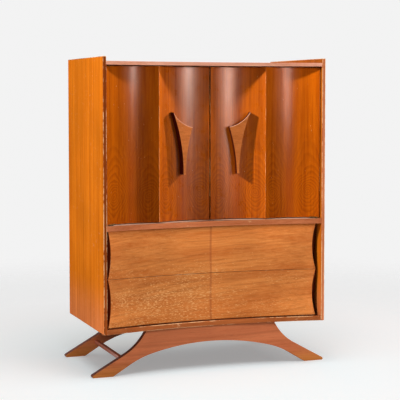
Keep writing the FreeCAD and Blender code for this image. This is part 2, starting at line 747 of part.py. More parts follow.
def drawer_inside(name, base):
    """Drawer bottom, back and the muntin that stiffens the bottom."""
    bottom = new_body(f"{name}_drawer_bottom")
    place(bottom, y="curve_centre", z=base)
    plan = new_sketch(bottom, "XY_Plane", "ply_base")
    front = "sqrt(ply_radius^2 - ply_half^2)"
    draw_outline(plan, [
        ("-ply_half", front, "ply_radius", RIGHT_OF_TRAVEL),
        ("ply_half", front),
        ("ply_half", "box_rear"),
        ("-ply_half", "box_rear"),
    ])
    pad(bottom, plan, "ply_thick")
    keep(bottom, f"{name}_drawer_bottom")

    inside = "(box_half - box_thick)"
    above = f"{base} + ply_base + ply_thick"
    back = f"{name}_drawer_back"
    low = (f"-{inside}", "box_back - box_thick", above)
    keep(box(back, low, (inside, "box_back", f"{base} + box_lift + box_high")), back)

    muntin = f"{name}_drawer_muntin"
    low = ("-muntin_wide / 2", "curve_centre + drawer_back_radius", f"{base} + box_lift")
    keep(box(muntin, low, ("muntin_wide / 2", "box_back", f"{base} + ply_base")), muntin)


def runners():
    """Runner boards on the case sides, each with a runner for the upper and the lower drawer."""
    rear = "rear_plane - back_thick"
    board = box("left_runner_board", ("-inner", "runner_front", "bottom_top"),
                ("-inner + runner_board", rear, "divider_base"))
    keep_pair(board, "runner_board")
    strips = []
    for name, base in drawer_bases().items():
        low_z = f"{base} + runner_base + runner_play"
        low = ("-inner + runner_board", "runner_front", low_z)
        high = ("-inner + runner_board + runner_proud", rear, f"{low_z} + runner_high")
        strips.append(box(f"{name}_left_runner", low, high))
    pair = group("left_drawer_runners", strips)
    keep(mirrored(pair, "right_drawer_runners"), "right_drawer_runners")


def leg_corners():
    """Outline of a leg board: sole, toe, calf, top, and back along the arch."""
    right = [
        ("heel_x", 0),
        ("toe_x", 0, "toe_round", LEFT_OF_TRAVEL),
        ("toe_top_x", "toe_top_z"),
        ("calf_x", "calf_z", "calf_radius", RIGHT_OF_TRAVEL),
        ("leg_top_x", "case_base"),
    ]
    left = [
        ("-leg_top_x", "case_base", "calf_radius", RIGHT_OF_TRAVEL),
        ("-calf_x", "calf_z"),
        ("-toe_top_x", "toe_top_z", "toe_round", LEFT_OF_TRAVEL),
        ("-toe_x", 0),
        ("-heel_x", 0),
    ]
    arch = [
        ("-heel_top_x", "heel_top_z", "shoulder_radius", RIGHT_OF_TRAVEL),
        ("-arch_end_x", "arch_end_z", "arch_radius", RIGHT_OF_TRAVEL),
        ("arch_end_x", "arch_end_z", "shoulder_radius", RIGHT_OF_TRAVEL),
        ("heel_top_x", "heel_top_z"),
    ]
    return right + left + arch


def leg_base():
    """Front and rear leg arches, joined by two stretchers with round tenons."""
    for label, setback, mortise, forward in (
        ("front_leg_arch", "front_leg", "leg_thick - tenon_long", False),
        ("rear_leg_arch", "rear_leg", "tenon_long", True),
    ):
        body = new_body(label)
        place(body, y=f"front_plane + {setback}")
        sketch = new_sketch(body, "XZ_Plane")
        draw_outline(sketch, leg_corners())
        pad(body, sketch, "leg_thick", back=True)
        holes = new_sketch(body, "XZ_Plane", f"-({mortise})")
        for x in ("-stretcher_x", "stretcher_x"):
            draw_circle(holes, x, "stretcher_z", "tenon + 2 * tenon_fit")
        pocket(body, holes, "tenon_long", forward)
        keep(body, label)

    bar = new_body("left_stretcher")
    place(bar, "-stretcher_x", "stretcher_front", "stretcher_z")
    section = new_sketch(bar, "XZ_Plane")
    across, tall = "stretcher_wide / 2", "stretcher_high / 2"
    draw_rectangle(section, f"-{across}", f"-{tall}", across, tall)
    pad(bar, section, "stretcher_long", back=True)
    tenons = new_sketch(bar, "XZ_Plane", "tenon_long")
    draw_circle(tenons, 0, 0, "tenon")
    pad(bar, tenons, "stretcher_long + 2 * tenon_long", back=True)
    keep_pair(bar, "stretcher")


def write_parts():
    """Checks every object and every sub-part, then writes the sub-parts."""
    doc.recompute()
    failed = [item.Label for item in doc.Objects if {"Invalid", "Error"} & set(item.State)]
    failed += [node.Label for node in nodes if node.Shape.isNull() or not node.Shape.isValid()]
    if failed:
        raise RuntimeError(f"failed objects: {failed}")
    os.makedirs("parts", exist_ok=True)
    for node in nodes:
        node.Shape.exportStep(f"parts/{node.Label}.step")
    print(f"{len(nodes)} sub-parts written")


fill_dimensions()
side_panels()
case_panels()
shelves()
door_panel()
door_frame()
handles()
hinges()
door_catches()
for drawer_name, drawer_base in drawer_bases().items():
    drawer_front(drawer_name, drawer_base)
    drawer_side(drawer_name, drawer_base)
    drawer_inside(drawer_name, drawer_base)
runners()
leg_base()
write_parts()
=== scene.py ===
"""Dresses the highboy: veneers, lacquer, brass and the studio round it.

Sizes are in metres, with X to the viewer's right, Y to the back and Z up, as in the frame.
"""

import logging
import math
from collections.abc import Callable, Iterable
from dataclasses import dataclass
from enum import Enum, StrEnum
from typing import Any

import bmesh
import bpy
from mathutils import Color, Matrix, Vector


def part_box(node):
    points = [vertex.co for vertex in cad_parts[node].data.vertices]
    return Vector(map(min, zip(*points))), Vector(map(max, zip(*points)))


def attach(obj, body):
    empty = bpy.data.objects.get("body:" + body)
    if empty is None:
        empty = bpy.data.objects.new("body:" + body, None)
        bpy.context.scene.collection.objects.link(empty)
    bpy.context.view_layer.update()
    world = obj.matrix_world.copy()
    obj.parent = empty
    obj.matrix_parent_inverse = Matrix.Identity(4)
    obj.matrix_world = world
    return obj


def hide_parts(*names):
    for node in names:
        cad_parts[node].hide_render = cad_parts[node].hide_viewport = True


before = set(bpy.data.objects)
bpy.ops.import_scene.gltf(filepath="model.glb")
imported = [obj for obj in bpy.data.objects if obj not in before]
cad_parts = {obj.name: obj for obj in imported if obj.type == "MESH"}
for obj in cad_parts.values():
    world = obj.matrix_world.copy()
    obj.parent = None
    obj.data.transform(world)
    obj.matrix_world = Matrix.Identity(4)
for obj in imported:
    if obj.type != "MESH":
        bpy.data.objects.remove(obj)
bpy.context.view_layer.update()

MM = 0.001
# Points closer than this are one point.
WELD = 0.02 * MM
# Faces that turn by less than this lie in one plane.
FLAT = math.radians(0.2)
# Faces that turn by more than this meet in an arris.
SHARP = math.radians(35)
# A face looks along an axis when its normal has at least this share along it.
FACING = 0.75
# The doors are turned in towards the middle by this much.
DOOR_TURN = math.radians(9.4)
UPRIGHT = Vector((0, 0, 1))
SCREEN_WHITE = 255

log = logging.getLogger("highboy")

Node = bpy.types.Node
NodeTree = bpy.types.NodeTree
Socket = bpy.types.NodeSocket
Material = bpy.types.Material
Piece = bpy.types.Object
Shape = bmesh.types.BMesh
Corner = bmesh.types.BMVert
Edge = bmesh.types.BMEdge
Face = bmesh.types.BMFace
Value = float | Socket
Span = tuple[float, float]
Triple = tuple[float, float, float]
Colour = tuple[float, float, float]


def shade(*levels: int) -> Colour:
    """Turns a red, green and blue as seen on a screen, 0 to 255, into the scene's linear light."""
    return tuple(Color([level / SCREEN_WHITE for level in levels]).from_srgb_to_scene_linear())


class Side(StrEnum):
    """The sides of the case."""

    LEFT = "left"
    RIGHT = "right"

    @property
    def inward(self) -> int:
        """The way along X from this side to the middle."""
        return 1 if self is Side.LEFT else -1


class Grain(Enum):
    """The way a board's grain runs, as the turn that lays it along Z."""

    UP = (0.0, 0.0, 0.0)
    ACROSS = (0.0, math.pi / 2, 0.0)
    DEEP = (math.pi / 2, 0.0, 0.0)


class Stain(Enum):
    """A wood's colours as seen on a screen: its dark ribbons, its ground and its pale fibres."""

    SIDE = (184, 88, 10), (211, 110, 18), (228, 142, 42)
    EDGE = (172, 88, 46), (200, 114, 70), (216, 140, 96)
    # Painted shade: a darker copy of the edge stain, for the left side's front edge and arris
    SHADED_EDGE = (128, 50, 6), (148, 64, 10), (166, 82, 24)
    LOW_EDGE = (150, 72, 28), (172, 92, 44), (190, 114, 64)
    TOP_EDGE = (214, 138, 104), (232, 166, 138), (242, 190, 168)
    # Painted sheen along the top board's front arrises
    TOP_ARRIS = (226, 160, 132), (238, 186, 164), (244, 200, 180)
    # Painted shade for recesses: the drawers' ends in the gaps beside the sides, and the bottom board's top
    # in front of the drawers
    RECESS = (66, 26, 8), (88, 38, 14), (104, 50, 22)
    DOOR = (139, 54, 3), (179, 81, 4), (198, 107, 12)
    DOOR_BACK = (132, 72, 36), (156, 94, 52), (176, 116, 70)
    DRAWER = (188, 98, 36), (214, 128, 60), (230, 156, 90)
    HANDLE = (172, 86, 32), (199, 109, 51), (216, 136, 74)
    # Painted highlight on the handles' upper front edge
    HANDLE_ARRIS = (226, 160, 122), (240, 184, 150), (248, 200, 172)
    # Painted shade on the handles' sides
    HANDLE_SIDE = (68, 12, 4), (88, 17, 5), (112, 28, 8)
    LEG = (186, 96, 57), (210, 118, 74), (222, 136, 90)
    # Painted shade on the legs' edges and the stretchers' tops
    LEG_EDGE = (150, 70, 40), (170, 84, 50), (186, 100, 62)
    RAIL = (176, 94, 70), (196, 114, 88), (212, 138, 112)
    INSIDE = (150, 104, 64), (176, 128, 84), (194, 150, 104)
    PLY = (158, 116, 74), (180, 140, 94), (196, 160, 114)

    @property
    def tones(self) -> tuple[Colour, Colour, Colour]:
        """The three colours as linear light."""
        return tuple(shade(*tone) for tone in self.value)


class Graph:
    """Adds and joins nodes in one shader tree."""

    def __init__(self, tree: NodeTree) -> None:
        """Keeps the tree that the nodes go into."""
        self.tree = tree

    def add(self, kind: str, *sources: Any, **settings: Any) -> Node:
        """Adds a node and feeds its inputs in order.

        Args:
            kind: Type of the node.
            sources: What feeds its inputs, from the first one on.
            settings: Values of the node's own settings.

        Returns:
            The node.
        """
        node = self.tree.nodes.new(kind)
        for name, setting in settings.items():
            setattr(node, name, setting)
        for socket, source in zip(node.inputs, sources):
            self.feed(socket, source)
        return node

    def plug(self, node: Node, **sources: Any) -> Node:
        """Feeds a node's inputs by name.

        Args:
            node: The node.
            sources: What feeds its inputs, by their names.

        Returns:
            The node.
        """
        for name, source in sources.items():
            self.feed(node.inputs[name], source)
        return node

    def feed(self, socket: Socket, source: Any) -> None:
        """Links a socket to an output, or sets its own value.

        Args:
            socket: Input to feed.
            source: An output socket, a number, a vector or a colour.
        """
        if isinstance(source, Socket):
            self.tree.links.new(source, socket)
        elif socket.type == "RGBA" and len(source) == 3:
            socket.default_value = (*source, 1.0)
        else:
            socket.default_value = source

    def use(self, group: NodeTree, **sources: Any) -> dict[str, Socket]:
        """Places a node group, fed by name, and hands over its outputs by name."""
        node = self.plug(self.add("ShaderNodeGroup", node_tree=group), **sources)
        return {socket.name: socket for socket in node.outputs}

    def math(self, operation: str, *sources: Value) -> Socket:
        """Works out one operation on one or two numbers."""
        return self.add("ShaderNodeMath", *sources, operation=operation).outputs[0]

    def times(self, first: Value, second: Value) -> Socket:
        """Multiplies two numbers."""
        return self.math("MULTIPLY", first, second)

    def plus(self, first: Value, second: Value) -> Socket:
        """Adds two numbers."""
        return self.math("ADD", first, second)

    def minus(self, first: Value, second: Value) -> Socket:
        """Takes the second number from the first."""
        return self.math("SUBTRACT", first, second)

    def most(self, first: Value, second: Value) -> Socket:
        """Finds the larger of two numbers."""
        return self.math("MAXIMUM", first, second)

    def spread(self, value: Value, low: float, high: float, out: Span = (0, 1)) -> Socket:
        """Maps a stretch of values smoothly onto another and holds the ends.

        Args:
            value: What to map.
            low: Start of the stretch.
            high: End of the stretch.
            out: Values at the start and at the end.

        Returns:
            The mapped value.
        """
        node = self.add("ShaderNodeMapRange", value, low, high, *out, interpolation_type="SMOOTHSTEP")
        return node.outputs[0]

    def vector(self, operation: str, *sources: Any) -> Socket:
        """Works out one operation on vectors that gives a vector."""
        return self.add("ShaderNodeVectorMath", *sources, operation=operation).outputs["Vector"]

    def length(self, vector: Socket) -> Socket:
        """Finds the length of a vector."""
        return self.add("ShaderNodeVectorMath", vector, operation="LENGTH").outputs["Value"]

    def drawn(self, place: Socket, share: float) -> Socket:
        """Shortens a place along Z to a share, so that patterns there are drawn out."""
        return self.vector("MULTIPLY", place, (1.0, 1.0, share))

    def parts(self, vector: Socket) -> tuple[Socket, Socket, Socket]:
        """Splits a vector into its three numbers."""
        return tuple(self.add("ShaderNodeSeparateXYZ", vector).outputs)

    def place(self, x: Value, y: Value, z: Value) -> Socket:
        """Joins three numbers into a vector."""
        return self.add("ShaderNodeCombineXYZ", x, y, z).outputs[0]

    def noise(self, place: Socket, scale: Value, detail: float = 2, rough: float = 0.5) -> Socket:
        """Makes a cloudy value over the surface, near 0.5 on average."""
        node = self.add("ShaderNodeTexNoise")
        return self.plug(node, Vector=place, Scale=scale, Detail=detail, Roughness=rough).outputs[0]

    def uneven(self, place: Socket, scale: Value, detail: float = 2, rough: float = 0.5) -> Socket:
        """Makes a cloudy value over the surface, near 0 on average."""
        return self.minus(self.noise(place, scale, detail, rough), 0.5)

    def mix(self, share: Value, first: Any, second: Any, blend: str = "MIX") -> Socket:
        """Mixes two colours.

        Args:
            share: How much of the second there is.
            first: The first colour.
            second: The second colour.
            blend: Way of mixing.

        Returns:
            The mixed colour.
        """
        node = self.add("ShaderNodeMix", share, data_type="RGBA", blend_type=blend)
        colours = [socket for socket in node.inputs if socket.type == "RGBA"]
        self.feed(colours[0], first)
        self.feed(colours[1], second)
        return next(socket for socket in node.outputs if socket.type == "RGBA")

    def multiply(self, share: Value, colour: Any, tone: Any) -> Socket:
        """Multiplies a colour by a tone, as far as a share says."""
        return self.mix(share, colour, tone, "MULTIPLY")

    def tint(self, colour: Any, level: Socket) -> Socket:
        """Darkens or lightens a colour by a level."""
        return self.multiply(1.0, colour, self.place(level, level, level))


class Effect:
    """A shader node group that several finishes share."""

    def __init__(self, name: str, numbers: Iterable[str], outputs: Iterable[str]) -> None:
        """Makes an empty group that takes a place and some numbers.

        Args:
            name: Name of the group.
            numbers: Names of the numbers it takes, besides the place called Vector.
            outputs: Names of the numbers it gives.
        """
        self.tree = bpy.data.node_groups.new(name, "ShaderNodeTree")
        sockets = self.tree.interface
        sockets.new_socket("Vector", in_out="INPUT", socket_type="NodeSocketVector")
        for way, names in (("INPUT", numbers), ("OUTPUT", outputs)):
            for socket in names:
                sockets.new_socket(socket, in_out=way, socket_type="NodeSocketFloat")
        self.graph = Graph(self.tree)
        self.into = self.graph.add("NodeGroupInput").outputs
        self.out = self.graph.add("NodeGroupOutput")

    def give(self, **results: Socket) -> NodeTree:
        """Links the results to the outputs and hands over the group."""
        self.graph.plug(self.out, **results)
        return self.tree


@dataclass(frozen=True)
class BoardGrain:
    """Straight grain along Z: broad ribbons, dark streaks, fine fibres, pores and slow clouds."""

    seed_step: Triple = (7.31, 3.17, 5.53)
    sway_scale: float = 3.0
    sway_drawn: float = 0.45
    ribbon_drawn: float = 0.02
    streak_finer: float = 4.5
    fibre_finer: float = 11.0
    pore_scale: float = 1100.0
    pore_drawn: float = 0.035
    cloud_scale: float = 3.2
    ribbon_span: Span = (0.3, 0.7)
    streak_span: Span = (0.46, 0.72)
    fibre_span: Span = (0.25, 0.75)
    pore_span: Span = (0.6, 0.75)

    def group(self) -> NodeTree:
        """Builds the effect.

        Returns:
            The group.
        """
        effect = Effect("board_grain", ("Ribbons", "Wander", "Seed"),
                        ("Ribbon", "Streak", "Fibre", "Pores", "Cloud"))
        graph, into = effect.graph, effect.into
        seed = graph.place(into["Seed"], into["Seed"], into["Seed"])
        start = graph.vector("ADD", into["Vector"], graph.vector("MULTIPLY", seed, self.seed_step))
        sway = graph.uneven(graph.drawn(start, self.sway_drawn), self.sway_scale, detail=1)
        sway = graph.times(sway, into["Wander"])
        place = graph.vector("ADD", start, graph.place(sway, sway, 0.0))
        along = graph.drawn(place, self.ribbon_drawn)
        ribbon = graph.noise(along, into["Ribbons"], detail=3, rough=0.6)
        streak = graph.noise(along, graph.times(into["Ribbons"], self.streak_finer), rough=0.6)
        fibre = graph.noise(along, graph.times(into["Ribbons"], self.fibre_finer), detail=3, rough=0.65)
        pores = graph.noise(graph.drawn(place, self.pore_drawn), self.pore_scale, detail=1)
        return effect.give(Ribbon=graph.spread(ribbon, *self.ribbon_span),
                           Streak=graph.spread(streak, *self.streak_span),
                           Fibre=graph.spread(fibre, *self.fibre_span),
                           Pores=graph.spread(pores, *self.pore_span),
                           Cloud=graph.noise(start, self.cloud_scale))


@dataclass(frozen=True)
class EyeFigure:
    """Book-matched veneer figure: rings round an eye near the foot of each leaf, and arches over it."""

    # Uneven growth, which bends the rings
    wave_scale: float = 9.0
    wave_across: float = 30 * MM
    ripple_scale: float = 26.0
    ripple_across: float = 14 * MM
    ripple_up: float = 30 * MM
    # Shape of an eye: rings wider than its reach below or above stay open and run on as arches
    eye_narrow: float = 0.85
    eye_level: Span = (-1 * MM, 1 * MM)
    eye_reach: Span = (55 * MM, 70 * MM)
    eye_steep: float = 1.2
    # Rings, counted outwards, each fading in slowly and ending at once
    ring_scale: float = 150.0
    ring_drift: float = 2.5
    ring_rise: Span = (0.15, 0.8)
    ring_fall: Span = (1.0, 0.88)
    # Strength of the rings and of the joint, which fade upwards
    eye_span: Span = (70 * MM, 30 * MM)
    eye_strength: Span = (0.55, 1.0)
    arch_heights: Span = (1100 * MM, 840 * MM)
    joint_span: Span = (26 * MM, 2 * MM)
    joint_heights: Span = (1050 * MM, 800 * MM)
    high_strength: Span = (0.2, 1.0)

    def group(self) -> NodeTree:
        """Builds the effect.

        Returns:
            The group.
        """
        effect = Effect("eye_figure", ("First ridge", "Half flute", "Eye inset", "Eye height"),
                        ("Lines", "Joint"))
        graph, into = effect.graph, effect.into
        x, _, z = graph.parts(into["Vector"])
        level = graph.place(x, 0.0, z)
        inward = graph.minus(graph.math("ABSOLUTE", x), into["First ridge"])
        across = graph.math("PINGPONG", inward, into["Half flute"])
        wave = graph.uneven(level, self.wave_scale, detail=3)
        ripple = graph.uneven(level, self.ripple_scale)
        aside = graph.minus(across, into["Eye inset"])
        aside = graph.plus(aside, graph.times(wave, self.wave_across))
        aside = graph.times(graph.plus(aside, graph.times(ripple, self.ripple_across)), self.eye_narrow)
        rise = graph.plus(graph.minus(z, into["Eye height"]), graph.times(ripple, self.ripple_up))
        reach = graph.spread(rise, *self.eye_level, self.eye_reach)
        drop = graph.math("DIVIDE", graph.math("ABSOLUTE", rise), graph.times(reach, -self.eye_steep))
        up = graph.times(reach, graph.minus(1.0, graph.math("EXPONENT", drop)))
        ring = graph.math("SQRT", graph.plus(graph.times(aside, aside), graph.times(up, up)))
        count = graph.plus(graph.times(ring, self.ring_scale), graph.times(wave, self.ring_drift))
        count = graph.math("FRACT", count)
        lines = graph.times(graph.spread(count, *self.ring_rise), graph.spread(count, *self.ring_fall))
        strength = graph.times(graph.spread(ring, *self.eye_span, self.eye_strength),
                               graph.spread(z, *self.arch_heights, self.high_strength))
        joint = graph.spread(graph.minus(into["Half flute"], across), *self.joint_span)
        low = graph.spread(z, *self.joint_heights, self.high_strength)
        return effect.give(Lines=graph.times(lines, strength), Joint=graph.times(joint, low))


@dataclass(frozen=True)
class RubbedPatches:
    """Patches along an arris where the lacquer is rubbed or chipped off."""

    drift_scale: float = 4.0
    patch_scale: float = 75.0
    patch_drawn: float = 0.4
    patch_share: float = 0.6
    bare_level: float = 0.68
    amount_gain: float = 0.36
    soft: Span = (-0.02, 0.07)

    def group(self) -> NodeTree:
        """Builds the effect.

        Returns:
            The group.
        """
        effect = Effect("rubbed_patches", ("Amount",), ("Mask",))
        graph, into = effect.graph, effect.into
        drift = graph.noise(into["Vector"], self.drift_scale)
        patch = graph.drawn(into["Vector"], self.patch_drawn)
        patch = graph.noise(patch, self.patch_scale, detail=4, rough=0.7)
        level = graph.plus(graph.times(patch, self.patch_share), graph.times(drift, 1 - self.patch_share))
        more = graph.times(into["Amount"], self.amount_gain)
        over = graph.plus(graph.minus(level, self.bare_level), more)
        return effect.give(Mask=graph.spread(over, *self.soft))


@dataclass(frozen=True)
class PaleFlecks:
    """Short pale scuffs along the grain, gathered in drifts."""

    fleck_drawn: float = 0.16
    drift_scale: float = 9.0
    drift_drawn: float = 0.4
    drift_span: Span = (0.15, 0.65)
    bare_level: float = 0.78
    amount_gain: float = 0.22
    soft: Span = (0.0, 0.07)

    def group(self) -> NodeTree:
        """Builds the effect.

        Returns:
            The group.
        """
        effect = Effect("pale_flecks", ("Amount", "Scale"), ("Mask",))
        graph, into = effect.graph, effect.into
        fleck = graph.noise(graph.drawn(into["Vector"], self.fleck_drawn), into["Scale"], rough=0.6)
        drift = graph.drawn(into["Vector"], self.drift_drawn)
        drift = graph.spread(graph.noise(drift, self.drift_scale, detail=3, rough=0.6), *self.drift_span)
        more = graph.times(graph.times(drift, into["Amount"]), self.amount_gain)
        over = graph.minus(fleck, graph.minus(self.bare_level, more))
        return effect.give(Mask=graph.spread(over, *self.soft))


class Effects:
    """The shared effects, each built once."""

    def __init__(self) -> None:
        """Builds the groups."""
        self.grain = BoardGrain().group()
        self.figure = EyeFigure().group()
        self.rubbed = RubbedPatches().group()
        self.flecks = PaleFlecks().group()


def blank_material(name: str) -> tuple[Material, Graph, Node]:
    """Makes a material to be dressed.

    Args:
        name: Name of the material.

    Returns:
        The material, its graph and its Principled shader.
    """
    material = bpy.data.materials.new(name)
    material.use_nodes = True
    return material, Graph(material.node_tree), material.node_tree.nodes["Principled BSDF"]


@dataclass(frozen=True)
class Fade:
    """A tone that multiplies a finish more and more over a stretch of height."""

    tone: Colour
    start: float
    end: float


@dataclass(frozen=True)
class WoodFinish:
    """A lacquered or bare wood with straight grain.

    Attributes:
        name: Name of the finish.
        stain: Its colours.
        grain: The way its grain runs.
        ribbons: How fine the ribbons of the grain are.
        seed: Tells the grain of one board from another's.
        wander: How far the grain sways.
        roughness: Roughness of the polish.
        fibre_rough: What that gains between the fibres and on them.
        mottle: How uneven the polish is.
        mottle_scale: How fine that unevenness is.
        shine: Strength of the mirrored light.
        fibre: Strength of the pale fibres.
        streaks: Strength of the dark streaks.
        streak_depth: Their colour, as a share of the dark ribbons'.
        pores: Strength of the pores.
        cloud_span: Where the slow clouds start and end.
        clouds: Their darkest and lightest tone.
        fades: Tones that set in towards the foot or the top.
        worn: Colour of the bare wood.
        flecks: Amount of pale flecks.
        fleck_strength: How far a fleck is worn to the bare wood.
        fleck_scale: How fine the flecks are.
        rubbed: Amount of rubbed patches.
        rubbed_strength: How far a patch is worn to the bare wood.
        rubbed_rough: What its roughness gains.
        bump: Strength of the grain's relief.
        relief: Depth of the grain's relief.
    """

    name: str
    stain: Stain
    grain: Grain
    ribbons: float
    seed: float
    wander: float = 0.012
    roughness: float = 0.5
    fibre_rough: Span = (-0.02, 0.03)
    mottle: float = 0.0
    mottle_scale: float = 30.0
    shine: float = 0.12
    fibre: float = 0.35
    streaks: float = 0.35
    streak_depth: float = 0.7
    pores: float = 0.35
    cloud_span: Span = (0.25, 0.75)
    clouds: Span = (0.86, 1.1)
    fades: tuple[Fade, ...] = ()
    worn: Colour = shade(226, 176, 128)
    flecks: float = 0.0
    fleck_strength: float = 0.8
    fleck_scale: float = 340.0
    rubbed: float = 0.0
    rubbed_strength: float = 0.85
    rubbed_rough: float = 0.2
    bump: float = 0.08
    relief: float = 0.3 * MM

    def figure(self, effects: Effects, graph: Graph, spot: Socket, colour: Socket) -> Socket:
        """Adds what a finish has beyond its grain; plain finishes add nothing."""
        return colour

    def fleck_amount(self, graph: Graph, spot: Socket) -> Value:
        """Says how many flecks there are; the same everywhere on plain finishes."""
        return self.flecks

    def ground(self, graph: Graph, grain: dict[str, Socket]) -> Socket:
        """Mixes the stain's tones by the ribbons, fibres and streaks.

        Args:
            graph: The material's graph.
            grain: What the grain effect gives.

        Returns:
            The grain's colour.
        """
        dark, mid, light = self.stain.tones
        deep = tuple(self.streak_depth * part for part in dark)
        colour = graph.mix(grain["Ribbon"], dark, mid)
        colour = graph.mix(graph.times(grain["Fibre"], self.fibre), colour, light)
        return graph.mix(graph.times(grain["Streak"], self.streaks), colour, deep)

    def polish(self, graph: Graph, spot: Socket, grain: dict[str, Socket]) -> Socket:
        """Works out the roughness of the unworn finish.

        Args:
            graph: The material's graph.
            spot: Object coordinates.
            grain: What the grain effect gives.

        Returns:
            The roughness.
        """
        levels = tuple(self.roughness + more for more in self.fibre_rough)
        rough = graph.spread(grain["Fibre"], 0.0, 1.0, levels)
        if not self.mottle:
            return rough
        uneven = graph.uneven(spot, self.mottle_scale, detail=4, rough=0.65)
        return graph.plus(rough, graph.times(uneven, self.mottle))

    def material(self, effects: Effects) -> Material:
        """Builds the finish.

        Args:
            effects: The shared node groups.

        Returns:
            The material.
        """
        material, graph, shader = blank_material(self.name)
        spot = graph.add("ShaderNodeTexCoord").outputs["Object"]
        turned = graph.plug(graph.add("ShaderNodeMapping"), Vector=spot, Rotation=self.grain.value)
        along = turned.outputs[0]
        grain = graph.use(effects.grain, Vector=along, Ribbons=self.ribbons, Wander=self.wander,
                          Seed=self.seed)
        colour = self.figure(effects, graph, spot, self.ground(graph, grain))
        colour = graph.tint(colour, graph.spread(grain["Cloud"], *self.cloud_span, self.clouds))
        dark = self.stain.tones[0]
        colour = graph.multiply(graph.times(grain["Pores"], self.pores), colour, dark)
        rough = self.polish(graph, spot, grain)
        for fade in self.fades:
            share = graph.spread(graph.parts(spot)[2], fade.start, fade.end)
            colour = graph.multiply(share, colour, fade.tone)
        if self.flecks:
            amount = self.fleck_amount(graph, spot)
            mask = graph.use(effects.flecks, Vector=along, Amount=amount, Scale=self.fleck_scale)["Mask"]
            colour = graph.mix(graph.times(mask, self.fleck_strength), colour, self.worn)
        if self.rubbed:
            mask = graph.use(effects.rubbed, Vector=along, Amount=self.rubbed)["Mask"]
            colour = graph.mix(graph.times(mask, self.rubbed_strength), colour, self.worn)
            rough = graph.plus(rough, graph.times(mask, self.rubbed_rough))
        bump = graph.plug(graph.add("ShaderNodeBump"), Strength=self.bump, Distance=self.relief,
                          Height=graph.minus(grain["Fibre"], grain["Pores"]))
        graph.plug(shader, **{"Base Color": colour, "Roughness": rough, "Specular IOR Level": self.shine,
                              "Normal": bump.outputs[0]})
        return material


@dataclass(frozen=True)
class EyedVeneer(WoodFinish):
    """The doors' veneer, with a pair of eyes in each flute."""

    first_ridge: float = 2.5 * MM
    half_flute: float = 114.9 * MM
    eye_inset: float = 38 * MM
    eye_height: float = 726 * MM
    line: Colour = shade(104, 36, 4)
    line_strength: float = 0.38
    joint: Colour = shade(140, 52, 14)
    joint_strength: float = 0.35
    left_leaf: Span = (-240 * MM, -225 * MM)
    left_tone: float = 0.88

    def figure(self, effects: Effects, graph: Graph, spot: Socket, colour: Socket) -> Socket:
        """Tones the leftmost leaf down and lays the joints, growth lines and eyes over the grain.

        Args:
            effects: The shared node groups.
            graph: The material's graph.
            spot: Object coordinates.
            colour: The grain's colour.

        Returns:
            The figured colour.
        """
        sizes = {"First ridge": self.first_ridge, "Half flute": self.half_flute,
                 "Eye inset": self.eye_inset, "Eye height": self.eye_height}
        found = graph.use(effects.figure, Vector=spot, **sizes)
        leaf = graph.spread(graph.parts(spot)[0], *self.left_leaf, (self.left_tone, 1.0))
        colour = graph.tint(colour, leaf)
        colour = graph.mix(graph.times(found["Joint"], self.joint_strength), colour, self.joint)
        return graph.mix(graph.times(found["Lines"], self.line_strength), colour, self.line)


@dataclass(frozen=True)
class MatchedVeneer(WoodFinish):
    """The drawers' veneer: two leaves that meet in the middle."""

    leaf_joint: Span = (-1 * MM, 1 * MM)
    leaf_slopes: Span = (-0.12, -0.08)
    # Painted sheen: the left leaf darker than the right, as the two leaves reflect differently
    leaf_tones: Span = (0.93, 1.0)
    smoke: Colour = shade(150, 72, 26)
    smoke_drawn: Triple = (0.7, 5.0, 30.0)
    smoke_scale: float = 3.5
    smoke_span: Span = (0.42, 0.72)
    smoke_strength: Span = (0.0, 0.4)
    meeting: float = 400 * MM
    pale_span: Span = (34 * MM, 170 * MM)
    pale_tones: Span = (0.96, 1.17)
    seam: Colour = shade(140, 58, 34)
    seam_span: Span = (7 * MM, 1.75 * MM)
    seam_strength: Span = (0.0, 0.4)
    fleck_heights: Span = (560 * MM, 300 * MM)
    fleck_lows: Span = (0.45, 1.0)
    fleck_sides: Span = (300 * MM, -200 * MM)
    fleck_lefts: Span = (0.7, 1.0)

    def figure(self, effects: Effects, graph: Graph, spot: Socket, colour: Socket) -> Socket:
        """Draws smoky streaks and the joint, darkens the left leaf as a painted difference in the two
        leaves' sheen, and pales the outer edges.

        Args:
            effects: The shared node groups.
            graph: The material's graph.
            spot: Object coordinates.
            colour: The grain's colour.

        Returns:
            The figured colour.
        """
        x, _, z = graph.parts(spot)
        leaf = graph.spread(x, *self.leaf_joint)
        level = graph.plus(z, graph.times(x, graph.spread(leaf, 0.0, 1.0, self.leaf_slopes)))
        place = graph.vector("MULTIPLY", graph.place(x, leaf, level), self.smoke_drawn)
        smoke = graph.noise(place, self.smoke_scale, detail=5, rough=0.65)
        smoke = graph.spread(smoke, *self.smoke_span, self.smoke_strength)
        colour = graph.mix(smoke, colour, self.smoke)
        colour = graph.tint(colour, graph.spread(leaf, 0.0, 1.0, self.leaf_tones))
        off = graph.math("ABSOLUTE", graph.minus(z, self.meeting))
        colour = graph.tint(colour, graph.spread(off, *self.pale_span, self.pale_tones))
        joint = graph.spread(graph.math("ABSOLUTE", x), *self.seam_span, self.seam_strength)
        return graph.mix(joint, colour, self.seam)

    def fleck_amount(self, graph: Graph, spot: Socket) -> Value:
        """Gathers the flecks low on the left, where the drawers are pulled and knocked.

        Args:
            graph: The material's graph.
            spot: Object coordinates.

        Returns:
            The amount of flecks.
        """
        x, _, z = graph.parts(spot)
        low = graph.spread(z, *self.fleck_heights, self.fleck_lows)
        left = graph.spread(x, *self.fleck_sides, self.fleck_lefts)
        return graph.times(graph.times(low, left), self.flecks)


